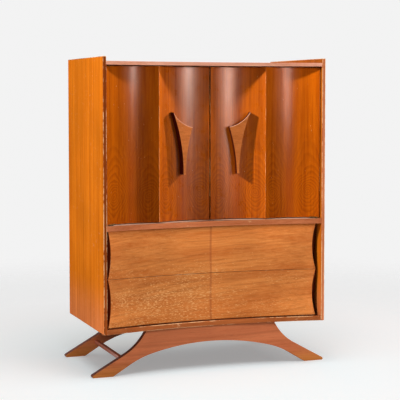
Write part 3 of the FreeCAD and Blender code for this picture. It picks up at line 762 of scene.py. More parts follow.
@dataclass(frozen=True)
class SillVeneer(WoodFinish):
    """The divider's wood, with painted shade in front of the doors and a painted glint along the foot of
    each flute.
    """

    door_line: float = -167 * MM
    door_slope: float = math.tan(DOOR_TURN)
    # Painted shade over the divider's top in front of the doors
    dark: Colour = (0.226, 0.089, 0.05)
    dark_span: Span = (50 * MM, 25 * MM)
    # Painted glint at the foot of each flute
    bare: Colour = shade(244, 206, 180)
    bare_front: Span = (-24 * MM, -8 * MM)
    bare_back: Span = (24 * MM, 16 * MM)
    bare_strength: Span = (0.0, 0.8)

    def figure(self, effects: Effects, graph: Graph, spot: Socket, colour: Socket) -> Socket:
        """Paints shade over the front and a pale glint crescent at the foot of each flute.

        Args:
            effects: The shared node groups.
            graph: The material's graph.
            spot: Object coordinates.
            colour: The grain's colour.

        Returns:
            The colour with its painted shade and glints.
        """
        x, y, _ = graph.parts(spot)
        line = graph.times(graph.math("ABSOLUTE", x), self.door_slope)
        deep = graph.minus(graph.plus(y, line), self.door_line)
        colour = graph.multiply(graph.spread(deep, *self.dark_span), colour, self.dark)
        bare = graph.times(graph.spread(deep, *self.bare_front),
                           graph.spread(deep, *self.bare_back, self.bare_strength))
        return graph.mix(bare, colour, self.bare)


@dataclass(frozen=True)
class MetalFinish:
    """A plain or painted metal with fine brushing and tarnish."""

    name: str
    clean: Colour
    tarnish: Colour
    metallic: float = 1.0
    roughness: float = 0.32
    tarnish_scale: float = 160.0
    tarnish_span: Span = (0.35, 0.7)
    brushing: float = 400.0
    brushed_rough: Span = (-0.08, 0.14)
    seed: float = 2.0

    def material(self, effects: Effects) -> Material:
        """Builds the finish.

        Args:
            effects: The shared node groups.

        Returns:
            The material.
        """
        material, graph, shader = blank_material(self.name)
        spot = graph.add("ShaderNodeTexCoord").outputs["Object"]
        stain = graph.noise(spot, self.tarnish_scale, detail=4, rough=0.65)
        colour = graph.mix(graph.spread(stain, *self.tarnish_span), self.clean, self.tarnish)
        grain = graph.use(effects.grain, Vector=spot, Ribbons=self.brushing, Wander=0.0, Seed=self.seed)
        levels = tuple(self.roughness + more for more in self.brushed_rough)
        rough = graph.spread(grain["Fibre"], 0.0, 1.0, levels)
        graph.plug(shader, **{"Base Color": colour, "Roughness": rough, "Metallic": self.metallic})
        return material


SIDE_FOOT = Fade((0.98, 1.1, 6.0), start=400 * MM, end=190 * MM)
# Painted shade: darkens the right side where it stands above the top board
SIDE_CROWN_SHADE = Fade((0.7, 0.72, 1.8), start=1232 * MM, end=1248 * MM)
EDGE_FOOT = Fade((1.25, 1.5, 2.5), start=800 * MM, end=190 * MM)
# Painted highlight: the handles' fronts paler towards their upper edge
HANDLE_CROWN_HIGHLIGHT = Fade((1.15, 1.4, 2.0), start=1012 * MM, end=1058 * MM)
TOE = Fade((0.95, 1.1, 0.6), start=70 * MM, end=0.0)

FINISHES = (
    WoodFinish("left_veneer", Stain.SIDE, Grain.UP, ribbons=34, seed=1, shine=0.0, flecks=0.5,
               fades=(SIDE_FOOT,)),
    WoodFinish("right_veneer", Stain.SIDE, Grain.UP, ribbons=34, seed=1, shine=0.0, flecks=0.5,
               fades=(SIDE_FOOT, SIDE_CROWN_SHADE)),
    # The left side's edge and arris carry painted shade
    WoodFinish("left_edge", Stain.SHADED_EDGE, Grain.UP, ribbons=60, seed=2, rubbed=0.05,
               fades=(EDGE_FOOT,)),
    WoodFinish("left_arris", Stain.SHADED_EDGE, Grain.UP, ribbons=60, seed=14, rubbed=0.55),
    WoodFinish("right_edge", Stain.EDGE, Grain.UP, ribbons=60, seed=18, rubbed=0.15),
    WoodFinish("right_arris", Stain.EDGE, Grain.UP, ribbons=60, seed=19, rubbed=0.6),
    WoodFinish("top_veneer", Stain.SIDE, Grain.ACROSS, ribbons=30, seed=4, roughness=0.4),
    WoodFinish("top_edge", Stain.TOP_EDGE, Grain.ACROSS, ribbons=40, seed=16, roughness=0.4, rubbed=0.3),
    # The top board's arrises carry a painted sheen
    WoodFinish("top_arris", Stain.TOP_ARRIS, Grain.ACROSS, ribbons=40, seed=22, roughness=0.4),
    # The divider's top carries painted shade in front of the doors and painted glints
    SillVeneer("divider_veneer", Stain.INSIDE, Grain.ACROSS, ribbons=30, seed=24, roughness=0.6),
    WoodFinish("divider_edge", Stain.EDGE, Grain.ACROSS, ribbons=60, seed=3, rubbed=0.1),
    WoodFinish("divider_arris", Stain.EDGE, Grain.ACROSS, ribbons=60, seed=15, rubbed=0.45),
    # Painted shade on the bottom board's top, in the dark strip in front of the drawers
    WoodFinish("bottom_veneer", Stain.RECESS, Grain.ACROSS, ribbons=30, seed=25),
    WoodFinish("bottom_edge", Stain.LOW_EDGE, Grain.ACROSS, ribbons=60, seed=20, rubbed=0.15),
    WoodFinish("bottom_arris", Stain.LOW_EDGE, Grain.ACROSS, ribbons=60, seed=21, rubbed=0.6),
    EyedVeneer("outer_flute", Stain.DOOR, Grain.UP, ribbons=30, seed=5, roughness=0.22, mottle=0.16,
               shine=0.06, flecks=0.32),
    EyedVeneer("inner_flute", Stain.DOOR, Grain.UP, ribbons=30, seed=5, roughness=0.31, mottle=0.3,
               shine=0.17, flecks=0.32),
    WoodFinish("door_arris", Stain.DOOR, Grain.UP, ribbons=30, seed=5, roughness=0.4, rubbed=0.55,
               worn=shade(220, 152, 98)),
    WoodFinish("door_back", Stain.DOOR_BACK, Grain.UP, ribbons=30, seed=29, roughness=0.6),
    WoodFinish("handle_wood", Stain.HANDLE, Grain.ACROSS, ribbons=90, seed=7, flecks=0.5,
               fades=(HANDLE_CROWN_HIGHLIGHT,)),
    # Painted highlight on the handles' upper front edge
    WoodFinish("handle_arris", Stain.HANDLE_ARRIS, Grain.ACROSS, ribbons=90, seed=27),
    # Painted shade on the handles' sides
    WoodFinish("handle_shaded_side", Stain.HANDLE_SIDE, Grain.UP, ribbons=60, seed=17),
    MatchedVeneer("drawer_veneer", Stain.DRAWER, Grain.ACROSS, ribbons=26, seed=6, wander=0.05,
                  worn=shade(228, 170, 106), flecks=1.24, fleck_strength=0.75, fleck_scale=460.0),
    WoodFinish("drawer_arris", Stain.DRAWER, Grain.ACROSS, ribbons=26, seed=28, wander=0.05, roughness=0.4,
               rubbed=0.4),
    # Painted shade on the drawers' ends, in the dark gaps beside the case's sides
    WoodFinish("drawer_end_shade", Stain.RECESS, Grain.UP, ribbons=30, seed=26),
    WoodFinish("leg_wood", Stain.LEG, Grain.ACROSS, ribbons=18, seed=8, wander=0.06, roughness=0.4,
               flecks=0.45, fades=(TOE,)),
    WoodFinish("leg_arris", Stain.LEG, Grain.ACROSS, ribbons=18, seed=8, wander=0.06, roughness=0.4,
               rubbed=0.45),
    # Painted shade on the legs' edges and the stretchers' tops
    WoodFinish("leg_edge", Stain.LEG_EDGE, Grain.ACROSS, ribbons=18, seed=23),
    WoodFinish("rail_wood", Stain.RAIL, Grain.DEEP, ribbons=30, seed=9, roughness=0.3, shine=0.5),
    WoodFinish("inner_across", Stain.INSIDE, Grain.ACROSS, ribbons=24, seed=10, roughness=0.6),
    WoodFinish("inner_deep", Stain.INSIDE, Grain.DEEP, ribbons=24, seed=11, roughness=0.6),
    WoodFinish("inner_up", Stain.INSIDE, Grain.UP, ribbons=24, seed=12, roughness=0.6),
    WoodFinish("back_ply", Stain.PLY, Grain.UP, ribbons=12, seed=13, wander=0.09, roughness=0.7),
    MetalFinish("aged_brass", shade(214, 178, 108), shade(142, 104, 52)),
    MetalFinish("plain_steel", shade(190, 190, 188), shade(120, 118, 112)),
    MetalFinish("dark_paint", shade(40, 39, 38), shade(58, 56, 52), metallic=0.0, roughness=0.5),
)


class Finishes:
    """The highboy's finishes by name, each built on first use."""

    def __init__(self) -> None:
        """Gets the shared effects and the list of finishes ready."""
        self.effects = Effects()
        self.known = {finish.name: finish for finish in FINISHES}
        self.made: dict[str, Material] = {}

    def __getitem__(self, name: str) -> Material:
        """Builds a finish the first time it is asked for.

        Args:
            name: Name of the finish.

        Returns:
            Its material.
        """
        if name not in self.made:
            self.made[name] = self.known[name].material(self.effects)
        return self.made[name]


def merged_copy(node: str) -> Shape:
    """Copies a node's mesh with its triangles joined into whole faces.

    Args:
        node: Name of the node.

    Returns:
        The copy.
    """
    shape = bmesh.new()
    shape.from_mesh(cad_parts[node].data)
    bmesh.ops.remove_doubles(shape, verts=shape.verts, dist=WELD)
    bmesh.ops.dissolve_limit(shape, angle_limit=FLAT, verts=shape.verts, edges=shape.edges)
    return shape


def ease(shape: Shape, edges: Iterable[Edge], width: float, number: int | None = None, segments: int = 3,
         clamp: bool = True) -> None:
    """Rounds edges over.

    Args:
        shape: The shape.
        edges: Edges to round.
        width: How far the rounding reaches.
        number: Number of the rounding's own finish, or none to keep the faces' beside it.
        segments: Steps of the rounding.
        clamp: Whether roundings that meet are held apart.
    """
    made = bmesh.ops.bevel(shape, geom=list(edges), offset=width, offset_type="OFFSET", segments=segments,
                           profile=0.5, affect="EDGES", material=-1, clamp_overlap=clamp)
    if number is not None:
        for face in made["faces"]:
            face.material_index = number


def number_faces(shape: Shape, looks: list[str], rule: Callable[[Face], str]) -> None:
    """Gives each face the number of the finish that a rule names for it.

    Args:
        shape: The shape.
        looks: Names of its finishes, in the order of their numbers.
        rule: Names the finish of a face.
    """
    shape.normal_update()
    for face in shape.faces:
        face.material_index = looks.index(rule(face))


def faces_front(face: Face) -> bool:
    """Tells whether a face looks out of the front."""
    return face.normal.y < -FACING


def sharp_edges(shape: Shape) -> list[Edge]:
    """Finds the edges between faces that turn away from each other."""
    return [edge for edge in shape.edges if len(edge.link_faces) == 2 and edge.calc_face_angle(0) > SHARP]


def front_edges(shape: Shape) -> list[Edge]:
    """Finds the sharp edges of the faces that look out of the front."""
    return [edge for edge in sharp_edges(shape) if any(faces_front(face) for face in edge.link_faces)]


def outer_edges(shape: Shape) -> list[Edge]:
    """Finds the sharp edges that run along the edges of the shape's own box.

    Args:
        shape: The shape.

    Returns:
        The edges.
    """
    spots = [corner.co for corner in shape.verts]
    low = Vector(min(spot[axis] for spot in spots) for axis in range(3))
    high = Vector(max(spot[axis] for spot in spots) for axis in range(3))

    def sides(edge: Edge) -> int:
        """Counts the sides of the box that an edge lies in."""
        ends = [corner.co for corner in edge.verts]
        return sum(all(abs(end[axis] - side[axis]) < WELD for end in ends)
                   for axis in range(3) for side in (low, high))
    return [edge for edge in sharp_edges(shape) if sides(edge) >= 2]


def spin_round(shape: Shape, start: Corner, centre: Vector, axis: Vector, angle: float,
               steps: int) -> Corner:
    """Draws an arc of edges from a vertex.

    Args:
        shape: The shape.
        start: Start of the arc.
        centre: Centre of the arc.
        axis: Axis of the turn.
        angle: How far it turns.
        steps: Edges in the arc.

    Returns:
        The vertex at the end of the arc.
    """
    made = bmesh.ops.spin(shape, geom=[start], cent=centre, axis=axis, dvec=(0, 0, 0), angle=angle,
                          steps=steps, use_duplicate=False)
    return next(item for item in made["geom_last"] if isinstance(item, Corner))


def hollow_radius(length: float, depth: float) -> float:
    """Finds the radius of an arc from its length straight across and its depth."""
    return (length**2 / 4 + depth**2) / (2 * depth)


@dataclass(frozen=True)
class FrontCurve:
    """The circle in plan that the front edges share."""

    half_width: float
    front: float
    sag: float = 53 * MM

    @property
    def radius(self) -> float:
        """Radius of the circle."""
        return hollow_radius(2 * self.half_width, self.sag)

    @property
    def centre(self) -> float:
        """Place of the circle's centre along Y."""
        return self.front + self.sag - self.radius

    def depth_at(self, x: float, behind: float) -> float:
        """Finds Y at x on a circle that lies a distance behind the curve."""
        return self.centre + math.sqrt((self.radius + behind) ** 2 - x**2)


@dataclass
class Assembly:
    """The pieces of one body, in the shared finishes."""

    body: str
    finishes: Finishes

    def finish(self, shape: Shape, name: str, slot: str, looks: Iterable[str], node: str) -> Piece:
        """Turns a shape into a finished piece.

        Args:
            shape: The shape, which is freed.
            name: Name of the piece.
            slot: Material slot of the record; not used.
            looks: Names of its finishes, in the order of their numbers.
            node: Node that the piece stands for.

        Returns:
            The piece.
        """
        mesh = bpy.data.meshes.new(name)
        for face in shape.faces:
            face.smooth = True
        for edge in sharp_edges(shape):
            edge.smooth = False
        shape.to_mesh(mesh)
        shape.free()
        for look in looks:
            mesh.materials.append(self.finishes[look])
        piece = bpy.data.objects.new(name, mesh)
        bpy.context.scene.collection.objects.link(piece)
        piece.modifiers.new("even_normals", "WEIGHTED_NORMAL").keep_sharp = True
        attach(piece, self.body)
        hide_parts(node)
        log.info("%s on %s, %d faces", name, self.body, len(mesh.polygons))
        return piece

    def dress(self, looks: dict[str, Iterable[str]]) -> None:
        """Gives nodes that keep their own shape their finish.

        Args:
            looks: Nodes for each finish.
        """
        for finish, nodes in looks.items():
            for node in nodes:
                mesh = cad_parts[node].data
                mesh.materials.clear()
                mesh.materials.append(self.finishes[finish])
                log.info("%s in %s", node, finish)


@dataclass
class Case(Assembly):
    """The fixed case: boards, shelves, runners and legs."""

    side_ease: float = 2.4 * MM
    edge_ease: float = 2.0 * MM
    leg_ease: float = 2.5 * MM
    tenon: float = 12 * MM
    bar: float = 16 * MM
    bar_ease: float = 2.0 * MM
    bar_edge: float = 64 * MM

    def build(self) -> tuple[list[Piece], list[Piece]]:
        """Makes and dresses every piece of the case.

        Returns:
            The two stretchers, and the rear and the front leg board.
        """
        rails = []
        for side in Side:
            self.board(f"{side}_side_panel", side, self.side_ease, outer_edges)
            rails.append(self.stretcher(f"{side}_stretcher"))
        for node, word in (("top_panel", "top"), ("middle_divider", "divider"), ("bottom_panel", "bottom")):
            self.board(node, word, self.edge_ease, front_edges)
        legs = [self.leg_board(f"{end}_leg_arch") for end in ("rear", "front")]
        self.dress({
            "inner_across": ("lower_shelf", "upper_shelf", "door_stop"),
            "inner_deep": ("left_runner_board", "right_runner_board", "left_drawer_runners",
                           "right_drawer_runners"),
            "back_ply": ("back_panel",),
            "aged_brass": ("left_hinge_case_leaves", "right_hinge_case_leaves", "shelf_pins"),
            "dark_paint": ("catch_magnets",),
        })
        return rails, legs

    def board(self, node: str, word: str, width: float, arrises: Callable[[Shape], list[Edge]]) -> None:
        """Lips the front of a board and eases its arrises, which are rubbed, except on the top board, whose
        arrises carry a painted sheen; the left side's edge and arris carry painted shade.

        Args:
            node: Name of the board.
            word: First word of its finishes.
            width: How far the easing reaches.
            arrises: Finds the edges to ease.
        """
        veneer, edge, arris = looks = [f"{word}_{part}" for part in ("veneer", "edge", "arris")]
        shape = merged_copy(node)
        number_faces(shape, looks, lambda face: edge if faces_front(face) else veneer)
        ease(shape, arrises(shape), width, looks.index(arris))
        self.finish(shape, f"{node}_board", "case_veneer", looks, node)

    def leg_board(self, node: str) -> Piece:
        """Rounds over every arris of a leg board and gives its edges painted shade.

        Args:
            node: Name of the leg board.

        Returns:
            The dressed board.
        """
        wood, arris, edge = looks = ["leg_wood", "leg_arris", "leg_edge"]
        shape = merged_copy(node)
        number_faces(shape, looks, lambda face: wood if abs(face.normal.y) > FACING else edge)
        ease(shape, sharp_edges(shape), self.leg_ease, looks.index(arris))
        return self.finish(shape, f"{node}_wood", "base_wood", looks, node)

    def stretcher(self, node: str) -> Piece:
        """Planes a stretcher down to a slim square bar round its tenons, gives its upper faces painted shade
        and rounds its long arrises.

        Args:
            node: Name of the stretcher.

        Returns:
            The dressed bar.
        """
        wood, upper = looks = ["rail_wood", "leg_edge"]
        shape = merged_copy(node)
        low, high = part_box(node)
        centre = (low + high) / 2
        corners = [corner for corner in shape.verts if abs(corner.co.z - centre.z) > self.tenon / 2 + WELD]
        slim = Vector((self.bar / (high.x - low.x), 1, self.bar / (high.z - low.z)))
        bmesh.ops.scale(shape, vec=slim, space=Matrix.Translation(-centre), verts=corners)
        # The upper faces take painted shade from the case above
        number_faces(shape, looks, lambda face: upper if face.normal.z > FACING else wood)
        long_edges = [edge for edge in sharp_edges(shape) if edge.calc_length() > self.bar_edge]
        ease(shape, long_edges, self.bar_ease)
        return self.finish(shape, f"{node}_wood", "base_wood", looks, node)


@dataclass
class Door(Assembly):
    """One fluted door with its frame, handle and hinges."""

    side: Side
    curve: FrontCurve
    inset: float = 10 * MM
    turn: float = DOOR_TURN
    bevel: float = math.radians(15)
    depth: float = 30 * MM
    skin: float = 16 * MM
    steps: int = 48
    ridge_ease: float = 0.8 * MM
    leaf_proud: float = 0.2 * MM
    looks_back: float = 0.5
    handle_ease: float = 1.6 * MM
    looks_up: float = 0.3

    def build(self) -> Piece:
        """Makes and dresses every piece of the door.

        Returns:
            The fluted panel.
        """
        panel = self.panel()
        self.handle()
        self.dress({
            "inner_across": (f"{self.body}_top_rail", f"{self.body}_bottom_rail"),
            "inner_up": (f"{self.body}_hinge_stile", f"{self.body}_meeting_stile"),
            "aged_brass": (f"{self.side}_hinge_door_leaves",),
            "plain_steel": (f"{self.side}_strike_plate",),
        })
        return panel

    def ridges(self, left: float, right: float) -> list[Vector]:
        """Finds the three ridges in plan, in one straight line.

        Args:
            left: Left edge of the panel.
            right: Right edge of the panel.

        Returns:
            The ridges from left to right.
        """
        outer = left if self.side is Side.LEFT else right
        start = self.curve.depth_at(outer, self.inset)
        return [Vector((x, start + abs(x - outer) * math.tan(self.turn), 0))
                for x in (left, (left + right) / 2, right)]

    def flute_centre(self, start: Vector, end: Vector) -> Vector:
        """Finds the centre of a flute between two ridges.

        Args:
            start: First ridge.
            end: Second ridge, further along X.

        Returns:
            The centre, in front of the door.
        """
        chord = end - start
        forward = Vector((chord.y, -chord.x, 0)).normalized()
        return (start + end) / 2 + forward * (hollow_radius(chord.length, self.depth) - self.depth)

    def backs(self, ridges: list[Vector], centres: list[Vector]) -> list[Vector]:
        """Finds the points behind the ridges where the panel's back arcs end.

        Args:
            ridges: The ridges from left to right.
            centres: Centres of the two flutes.

        Returns:
            The points from left to right.
        """
        inward = self.side.inward
        tilts = [0.0, -inward * self.turn, -inward * self.bevel][::inward]
        radius = (ridges[0] - centres[0]).length + self.skin
        points = []
        for ridge, tilt, centre in zip(ridges, tilts, (centres[0], centres[0], centres[1])):
            along = Vector((math.sin(tilt), math.cos(tilt), 0))
            arm = ridge - centre
            part = arm.dot(along)
            points.append(ridge + along * (math.sqrt(part**2 - arm.length_squared + radius**2) - part))
        return points

    def flute(self, shape: Shape, start: Corner, end: Vector, centre: Vector) -> Corner:
        """Draws a flute's arc from a vertex towards a point.

        Args:
            shape: The shape.
            start: Vertex at the first ridge.
            end: Point at the second ridge.
            centre: Centre of the flute.

        Returns:
            The vertex at the second ridge.
        """
        first, last = start.co - centre, end - centre
        angle = math.atan2(first.x * last.y - first.y * last.x, first.x * last.x + first.y * last.y)
        return spin_round(shape, start, centre, UPRIGHT, angle, self.steps)

    def outline(self, ridges: list[Vector]) -> Shape:
        """Draws the panel's outline in plan, front and back, as one face.

        Args:
            ridges: The ridges from left to right.

        Returns:
            The outline, at the height of the floor.
        """
        shape = bmesh.new()
        front = first = shape.verts.new(ridges[0])
        centres = [self.flute_centre(start, end) for start, end in zip(ridges, ridges[1:])]
        for centre, end in zip(centres, ridges[1:]):
            front = self.flute(shape, front, end, centre)
        backs = self.backs(ridges, centres)
        back = shape.verts.new(backs[-1])
        shape.edges.new((front, back))
        for centre, end in zip(reversed(centres), reversed(backs[:-1])):
            back = self.flute(shape, back, end, centre)
        shape.edges.new((back, first))
        bmesh.ops.contextual_create(shape, geom=shape.edges[:])
        return shape

    def panel(self) -> Piece:
        """Raises the fluted panel from its outline and eases its ridges.

        Returns:
            The panel.
        """
        node = f"{self.body}_panel"
        low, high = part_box(node)
        ridges = self.ridges(low.x, high.x)
        shape = self.outline(ridges)
        bmesh.ops.translate(shape, verts=shape.verts, vec=UPRIGHT * (low.z + self.leaf_proud))
        made = bmesh.ops.extrude_face_region(shape, geom=shape.faces[:])
        upper = [item for item in made["geom"] if isinstance(item, Corner)]
        bmesh.ops.translate(shape, verts=upper, vec=UPRIGHT * (high.z - low.z - 2 * self.leaf_proud))
        bmesh.ops.recalc_face_normals(shape, faces=shape.faces)
        inner, outer, arris, back = looks = ["inner_flute", "outer_flute", "door_arris", "door_back"]

        def look(face: Face) -> str:
            """Tells the back and the two flutes apart."""
            flute = outer if abs(face.calc_center_median().x) > abs(ridges[1].x) else inner
            return back if face.normal.y > self.looks_back else flute
        number_faces(shape, looks, look)
        ease(shape, sharp_edges(shape), self.ridge_ease, looks.index(arris))
        return self.finish(shape, f"{self.side}_fluted_panel", "door_veneer", looks, node)

    def handle(self) -> None:
        """Rounds the upper front edge of the handle, which carries a painted highlight, and gives its sides
        painted shade.
        """
        node = f"{self.side}_handle"
        wood, side, arris = looks = ["handle_wood", "handle_shaded_side", "handle_arris"]
        shape = merged_copy(node)
        number_faces(shape, looks, lambda face: wood if faces_front(face) else side)
        upper = [edge for edge in front_edges(shape)
                 if any(face.normal.z > self.looks_up for face in edge.link_faces)]
        ease(shape, upper, self.handle_ease, looks.index(arris), clamp=False)
        shape.normal_update()
        self.finish(shape, f"{self.side}_pull", "handle_wood", looks, node)


@dataclass
class Drawer(Assembly):
    """One wide drawer with a scooped front and scalloped ends."""

    curve: FrontCurve
    inset: float = 24 * MM
    thick: float = 28 * MM
    scoop: float = 5 * MM
    scallop: float = 13 * MM
    steps_up: int = 24
    steps_across: int = 96
    edge_ease: float = 0.8 * MM
    edge_steps: int = 2

    def build(self) -> Piece:
        """Makes and dresses every piece of the drawer.

        Returns:
            The drawer front.
        """
        front = self.front()
        self.dress({
            "inner_deep": [f"{self.body}_{part}" for part in ("left_side", "right_side", "muntin")],
            "inner_across": (f"{self.body}_back",),
            "back_ply": (f"{self.body}_bottom",),
        })
        return front

    def section(self, low: float, high: float) -> Shape:
        """Draws the front's section in the middle of the case, as one face.

        Args:
            low: Height of its lower edge.
            high: Height of its upper edge.

        Returns:
            The section.
        """
        shape = bmesh.new()
        face = self.curve.centre + self.curve.radius + self.inset
        radius = hollow_radius(high - low, self.scoop)
        centre = Vector((0, face - radius + self.scoop, (low + high) / 2))
        turn = 2 * math.asin((high - low) / 2 / radius)
        start = shape.verts.new((0, face, low))
        end = spin_round(shape, start, centre, Vector((1, 0, 0)), turn, self.steps_up)
        upper, lower = (shape.verts.new((0, face + self.thick, height)) for height in (high, low))
        for pair in ((end, upper), (upper, lower), (lower, start)):
            shape.edges.new(pair)
        bmesh.ops.contextual_create(shape, geom=shape.edges[:])
        return shape

    def front(self) -> Piece:
        """Models the front: a scooped section swept round the front curve, with scalloped ends.

        Returns:
            The front.
        """
        node = f"{self.body}_front"
        low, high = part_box(node)
        shape = self.section(low.z, high.z)
        axis = Vector((0, self.curve.centre, 0))
        sweep = 2 * math.asin(high.x / (self.curve.radius + self.inset))
        bmesh.ops.rotate(shape, verts=shape.verts, cent=axis, matrix=Matrix.Rotation(-sweep / 2, 3, "Z"))
        bmesh.ops.spin(shape, geom=shape.faces[:] + shape.edges[:] + shape.verts[:], cent=axis, axis=UPRIGHT,
                       dvec=(0, 0, 0), angle=sweep, steps=self.steps_across, use_duplicate=False)
        self.trim(shape, sweep, low, high)
        bmesh.ops.recalc_face_normals(shape, faces=shape.faces)
        veneer, back, end, arris = looks = ["drawer_veneer", "inner_across", "drawer_end_shade", "drawer_arris"]

        def look(face: Face) -> str:
            """Tells the front, the back and the ends apart."""
            # The ends take painted shade
            side = end if abs(face.normal.x) > FACING else veneer
            return back if face.normal.y > FACING else side
        number_faces(shape, looks, look)
        ease(shape, sharp_edges(shape), self.edge_ease, looks.index(arris), self.edge_steps)
        return self.finish(shape, f"{node}_veneered", "drawer_veneer", looks, node)

    def trim(self, shape: Shape, sweep: float, low: Vector, high: Vector) -> None:
        """Draws the ends in to their scallops.

        Args:
            shape: The swept front.
            sweep: Angle of the sweep.
            low: Lower left corner of the front's box.
            high: Upper right corner of the front's box.
        """
        radius = hollow_radius(high.z - low.z, self.scallop)
        middle = (low.z + high.z) / 2
        for corner in shape.verts:
            across, ahead = corner.co.x, corner.co.y - self.curve.centre
            reach = math.hypot(across, ahead)
            hollow = math.sqrt(radius**2 - (corner.co.z - middle) ** 2) - (radius - self.scallop)
            share = math.atan2(across, ahead) / (sweep / 2)
            angle = share * math.asin((high.x - hollow) / reach)
            corner.co.x = reach * math.sin(angle)
            corner.co.y = self.curve.centre + reach * math.cos(angle)


class Reach(Enum):
    """Which pieces a lamp lights, as the state of their link to it."""

    ONLY = "INCLUDE"
    ALL_BUT = "EXCLUDE"

    def limit(self, lamp: Piece, pieces: Iterable[Piece]) -> None:
        """Makes a lamp light only some pieces, or all but some.

        Args:
            lamp: The lamp.
            pieces: The pieces.
        """
        group = bpy.data.collections.new(f"{lamp.name}_link")
        for piece in pieces:
            group.objects.link(piece)
        for entry in group.collection_objects:
            entry.light_linking.link_state = self.value
        lamp.light_linking.receiver_collection = group


def new_lamp(name: str, size: float, light: float, far: float) -> Piece:
    """Makes a square lamp that the camera doesn't see.

    Args:
        name: Name of the lamp.
        size: Side of the lamp.
        light: Brightness that it gives a white surface facing it.
        far: Distance of that surface.

    Returns:
        The lamp.
    """
    data = bpy.data.lights.new(name, "AREA")
    data.size = size
    data.energy = light * math.pi**2 * far**2
    lamp = bpy.data.objects.new(name, data)
    lamp.visible_camera = False
    bpy.context.scene.collection.objects.link(lamp)
    return lamp


@dataclass(frozen=True)
class Lamp:
    """A square lamp that looks at the case.

    Attributes:
        name: Name of the lamp.
        turn: Degrees round from the front, to the right.
        rise: Degrees above the level.
        far: Distance from the point that it looks at.
        size: Side of the lamp.
        light: Brightness that it gives a white surface facing it.
        aim: The point that it looks at.
    """

    name: str
    turn: float
    rise: float
    far: float
    size: float
    light: float
    aim: Triple = (0.0, -0.2, 0.85)

    def hang(self) -> Piece:
        """Hangs the lamp and turns it to the case.

        Returns:
            The lamp.
        """
        lamp = new_lamp(self.name, self.size, self.light, self.far)
        turn, rise = math.radians(self.turn), math.radians(self.rise)
        away = Vector((math.sin(turn) * math.cos(rise), -math.cos(turn) * math.cos(rise), math.sin(rise)))
        lamp.location = Vector(self.aim) + away * self.far
        lamp.rotation_euler = away.to_track_quat("Z", "Y").to_euler()
        return lamp


@dataclass(frozen=True)
class SheenLamp:
    """A narrow upright lamp that shows only as a sheen in a door's polish."""

    place: Triple
    wide: float
    tall: float
    light: float
    turn: float = 22
    far: float = 2.3
    colour: Colour = (1.0, 0.82, 0.72)

    def hang(self, name: str) -> Piece:
        """Hangs the lamp upright.

        Args:
            name: Name of the lamp.

        Returns:
            The lamp.
        """
        lamp = new_lamp(name, self.wide, self.light, self.far)
        lamp.location = self.place
        lamp.rotation_euler = (math.pi / 2, 0, math.radians(self.turn))
        lamp.data.shape = "RECTANGLE"
        lamp.data.size_y = self.tall
        lamp.data.color = self.colour
        lamp.visible_diffuse = False
        return lamp


@dataclass(frozen=True)
class Floor:
    """A pale round floor that fades into the background."""

    radius: float = 4.0
    steps: int = 96
    open_tone: Colour = (0.8, 0.8, 0.8)
    near_tone: Colour = (0.75, 0.83, 0.85)
    near_span: Span = (1.3, 0.6)
    fade_span: Span = (1.2, 3.6)
    glow: float = 0.3

    def lay(self) -> Piece:
        """Lays the floor.

        Returns:
            The floor.
        """
        shape = bmesh.new()
        bmesh.ops.create_circle(shape, cap_ends=True, segments=self.steps, radius=self.radius)
        mesh = bpy.data.meshes.new("floor")
        shape.to_mesh(mesh)
        shape.free()
        mesh.materials.append(self.material())
        floor = bpy.data.objects.new("floor", mesh)
        bpy.context.scene.collection.objects.link(floor)
        return floor

    def material(self) -> Material:
        """Builds the matt finish, lifted to the background's white where it is seen.

        Returns:
            The material.
        """
        material, graph, shader = blank_material("pale_floor")
        graph.tree.nodes.remove(shader)
        far = graph.length(graph.add("ShaderNodeTexCoord").outputs["Object"])
        tone = graph.mix(graph.spread(far, *self.near_span), self.open_tone, self.near_tone)
        matt = graph.add("ShaderNodeBsdfDiffuse", tone)
        path = graph.add("ShaderNodeLightPath").outputs
        seen = graph.most(path["Is Glossy Ray"], path["Is Transmission Ray"])
        seen = graph.most(path["Is Camera Ray"], seen)
        glow = graph.plug(graph.add("ShaderNodeEmission"), Strength=graph.times(seen, self.glow))
        both = graph.add("ShaderNodeAddShader", matt.outputs[0], glow.outputs[0])
        clear = graph.add("ShaderNodeBsdfTransparent")
        away = graph.spread(far, *self.fade_span)
        faded = graph.add("ShaderNodeMixShader", away, both.outputs[0], clear.outputs[0])
        graph.feed(graph.tree.nodes["Material Output"].inputs[0], faded.outputs[0])
        return material


@dataclass(frozen=True)
class Room:
    """The light of the room: strong from above, dim where it is mirrored, white where it is seen."""

    heights: Span = (-0.2, 0.7)
    levels: Span = (0.25, 1.6)
    fill: float = 0.17
    dim: float = 0.2
    behind_span: Span = (0.85, 0.95)
    white: float = 0.895

    def light(self) -> None:
        """Lights the room."""
        world = bpy.data.worlds.new("studio")
        world.use_nodes = True
        bpy.context.scene.world = world
        graph = Graph(world.node_tree)
        _, y, z = graph.parts(graph.add("ShaderNodeTexCoord").outputs["Generated"])
        path = graph.add("ShaderNodeLightPath").outputs
        behind = graph.times(path["Is Glossy Ray"], graph.spread(y, *self.behind_span))
        seen = graph.most(graph.most(path["Is Camera Ray"], path["Is Transmission Ray"]), behind)
        mirrored = graph.spread(path["Is Glossy Ray"], 0.0, 1.0, (1.0, self.dim))
        above = graph.times(graph.spread(z, *self.heights, self.levels), self.fill)
        unseen = graph.times(graph.minus(1.0, seen), graph.times(above, mirrored))
        strength = graph.plus(graph.times(seen, self.white), unseen)
        graph.plug(graph.tree.nodes["Background"], Color=(1.0, 1.0, 1.0), Strength=strength)


